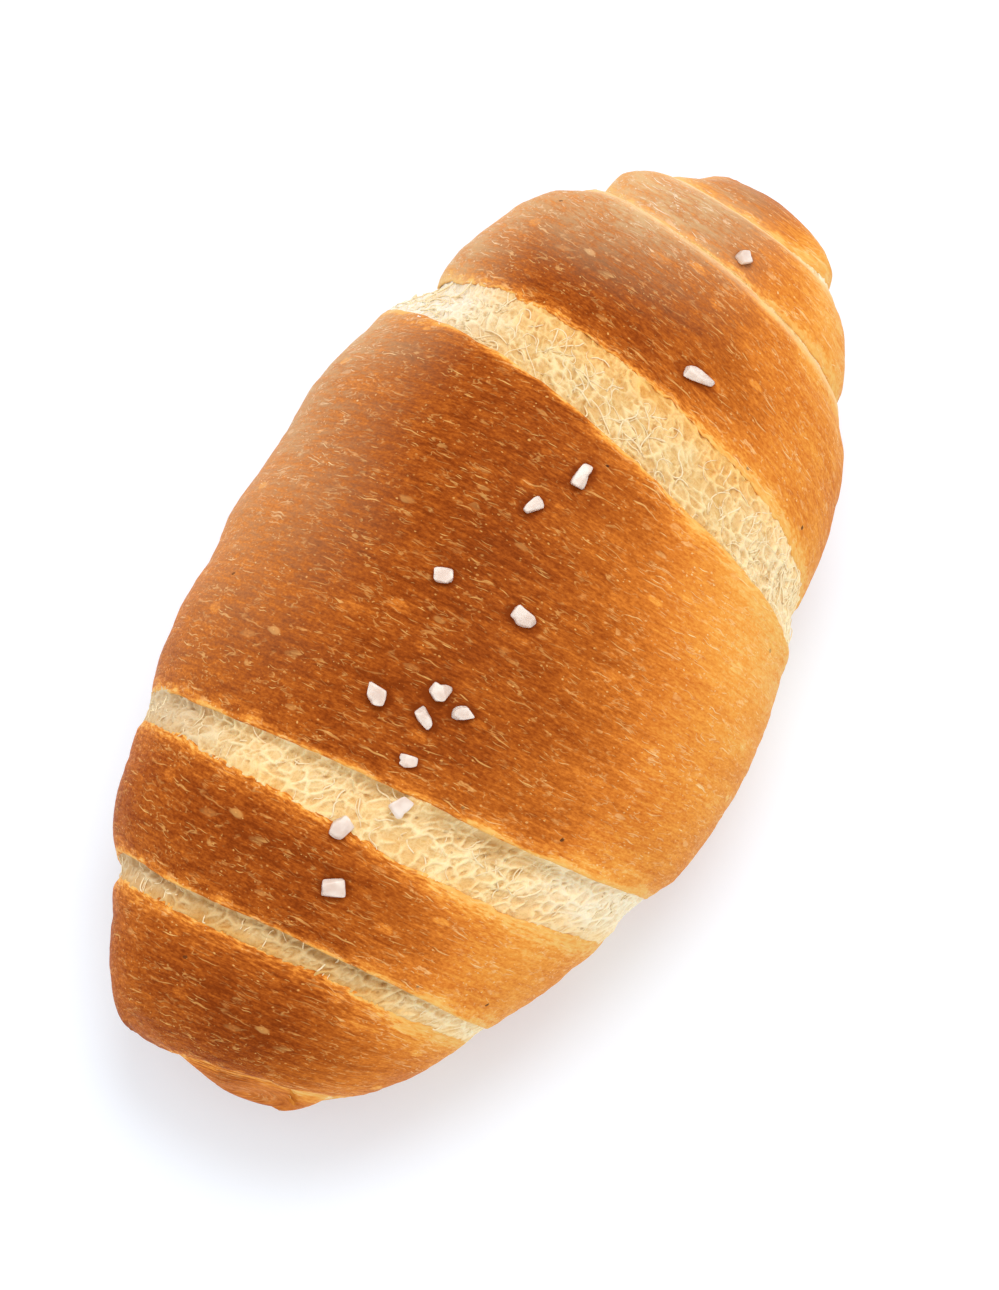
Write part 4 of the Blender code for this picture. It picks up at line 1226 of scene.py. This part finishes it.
class SALTROLL_OT_crumb(bpy.types.Operator):
    """Builds the bare crumb of the six seams, and the loose threads on it"""

    bl_idname = "salt_roll.crumb"
    bl_label = "Crumb"

    def execute(self, context):
        for seam in range(len(SEAMS)):
            crumb_strip(seam, context.scene.salt_roll_crumb, bpy.data.materials["bare_crumb"])
        crumb_strands(context.scene.salt_roll_crumb, bpy.data.materials["crumb_threads"])
        return {"FINISHED"}


class SALTROLL_OT_salt(bpy.types.Operator):
    """Builds the grains of coarse salt"""

    bl_idname = "salt_roll.salt"
    bl_label = "Salt"

    def execute(self, context):
        salt_grains(context.scene.salt_roll_salt, bpy.data.materials["coarse_salt"])
        return {"FINISHED"}


def stand(name, data, place, target):
    """Puts a lamp or the camera at its place, looking at a target."""
    obj = bpy.data.objects.new(name, data)
    obj.location = place
    obj.rotation_euler = Vector(np.subtract(target, place)).to_track_quat("-Z", "Y").to_euler()
    bpy.context.scene.collection.objects.link(obj)
    return obj


def put_sun(name, place, strength, spread_angle):
    """A soft lamp that shines from its place towards the roll's middle."""
    lamp = bpy.data.lights.new(name, "SUN")
    lamp.energy = strength
    lamp.angle = spread_angle
    stand(name, lamp, place, (0, 0, 0))


def put_floor(looks):
    """The plain floor: a square that glows a little, so that it stays as pale as its light."""
    mesh = bpy.data.meshes.new("floor")
    corners = [(x * FLOOR_REACH, y * FLOOR_REACH, 0) for x, y in ((-1, -1), (1, -1), (1, 1), (-1, 1))]
    mesh.from_pydata(corners, [], [(0, 1, 2, 3)])
    tree, shader = new_material("plain_floor")
    feed(tree, shader, {"Base Color": (*looks.floor, 1), "Roughness": 0.9, "Specular IOR Level": 0.1,
                        "Emission Color": (1, 1, 1, 1), "Emission Strength": looks.floor_glow})
    mesh.materials.append(bpy.data.materials["plain_floor"])
    floor = bpy.data.objects.new("floor", mesh)
    bpy.context.scene.collection.objects.link(floor)


class SALTROLL_OT_stage(bpy.types.Operator):
    """Sets the floor, the soft light and the camera at the photograph's angle"""

    bl_idname = "salt_roll.stage"
    bl_label = "Stage"

    def execute(self, context):
        stage, scene = context.scene.salt_roll_stage, context.scene
        put_floor(stage)
        scene.world = bpy.data.worlds.new("even_light")
        scene.world.use_nodes = True
        sky = scene.world.node_tree
        feed(sky, sky.nodes["Background"], {"Color": (1, 1, 1, 1), "Strength": stage.sky_strength})
        put_sun("key", KEY_PLACE, stage.key_strength, KEY_SPREAD)
        put_sun("side", SIDE_PLACE, stage.side_strength, SIDE_SPREAD)
        level = np.cos(CAMERA_ELEVATION)
        back = np.array([np.sin(CAMERA_AZIMUTH) * level, -np.cos(CAMERA_AZIMUTH) * level,
                         np.sin(CAMERA_ELEVATION)])
        camera = bpy.data.cameras.new("camera")
        camera.lens = stage.lens
        camera.sensor_width = 36
        camera.clip_start = 0.01
        scene.camera = stand("camera", camera, CAMERA_TARGET + back * stage.distance, CAMERA_TARGET)
        scene.view_settings.view_transform = "Standard"
        return {"FINISHED"}


class SALTROLL_PT_panel(bpy.types.Panel):
    """Lists the roll's builders and settings"""

    bl_idname = "SALTROLL_PT_panel"
    bl_label = "Salt Roll"
    bl_space_type = "VIEW_3D"
    bl_region_type = "UI"
    bl_category = "Salt Roll"

    def draw(self, context):
        for builder in OPERATORS:
            self.layout.operator(builder.bl_idname)
        for name in SETTINGS:
            settings = getattr(context.scene, name)
            for key in settings.__annotations__:
                self.layout.prop(settings, key)


SETTINGS = {"salt_roll_crust": CrustSettings, "salt_roll_crumb": CrumbSettings,
            "salt_roll_salt": SaltSettings, "salt_roll_stage": StageSettings}
OPERATORS = (SALTROLL_OT_finishes, SALTROLL_OT_crust, SALTROLL_OT_crumb, SALTROLL_OT_salt, SALTROLL_OT_stage)


def register():
    """Adds the classes, and a group of settings for each part of the scene."""
    for made in (*SETTINGS.values(), *OPERATORS, SALTROLL_PT_panel):
        bpy.utils.register_class(made)
    for name, settings in SETTINGS.items():
        setattr(bpy.types.Scene, name, PointerProperty(type=settings))


def unregister():
    """Takes away what register adds, in the opposite order."""
    for name in SETTINGS:
        delattr(bpy.types.Scene, name)
    for made in (SALTROLL_PT_panel, *reversed(OPERATORS), *SETTINGS.values()):
        bpy.utils.unregister_class(made)


def main():
    """Registers the add-on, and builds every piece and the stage."""
    register()
    for step in ("finishes", "crust", "crumb", "salt", "stage"):
        getattr(bpy.ops.salt_roll, step)()


if __name__ == "__main__":
    main()
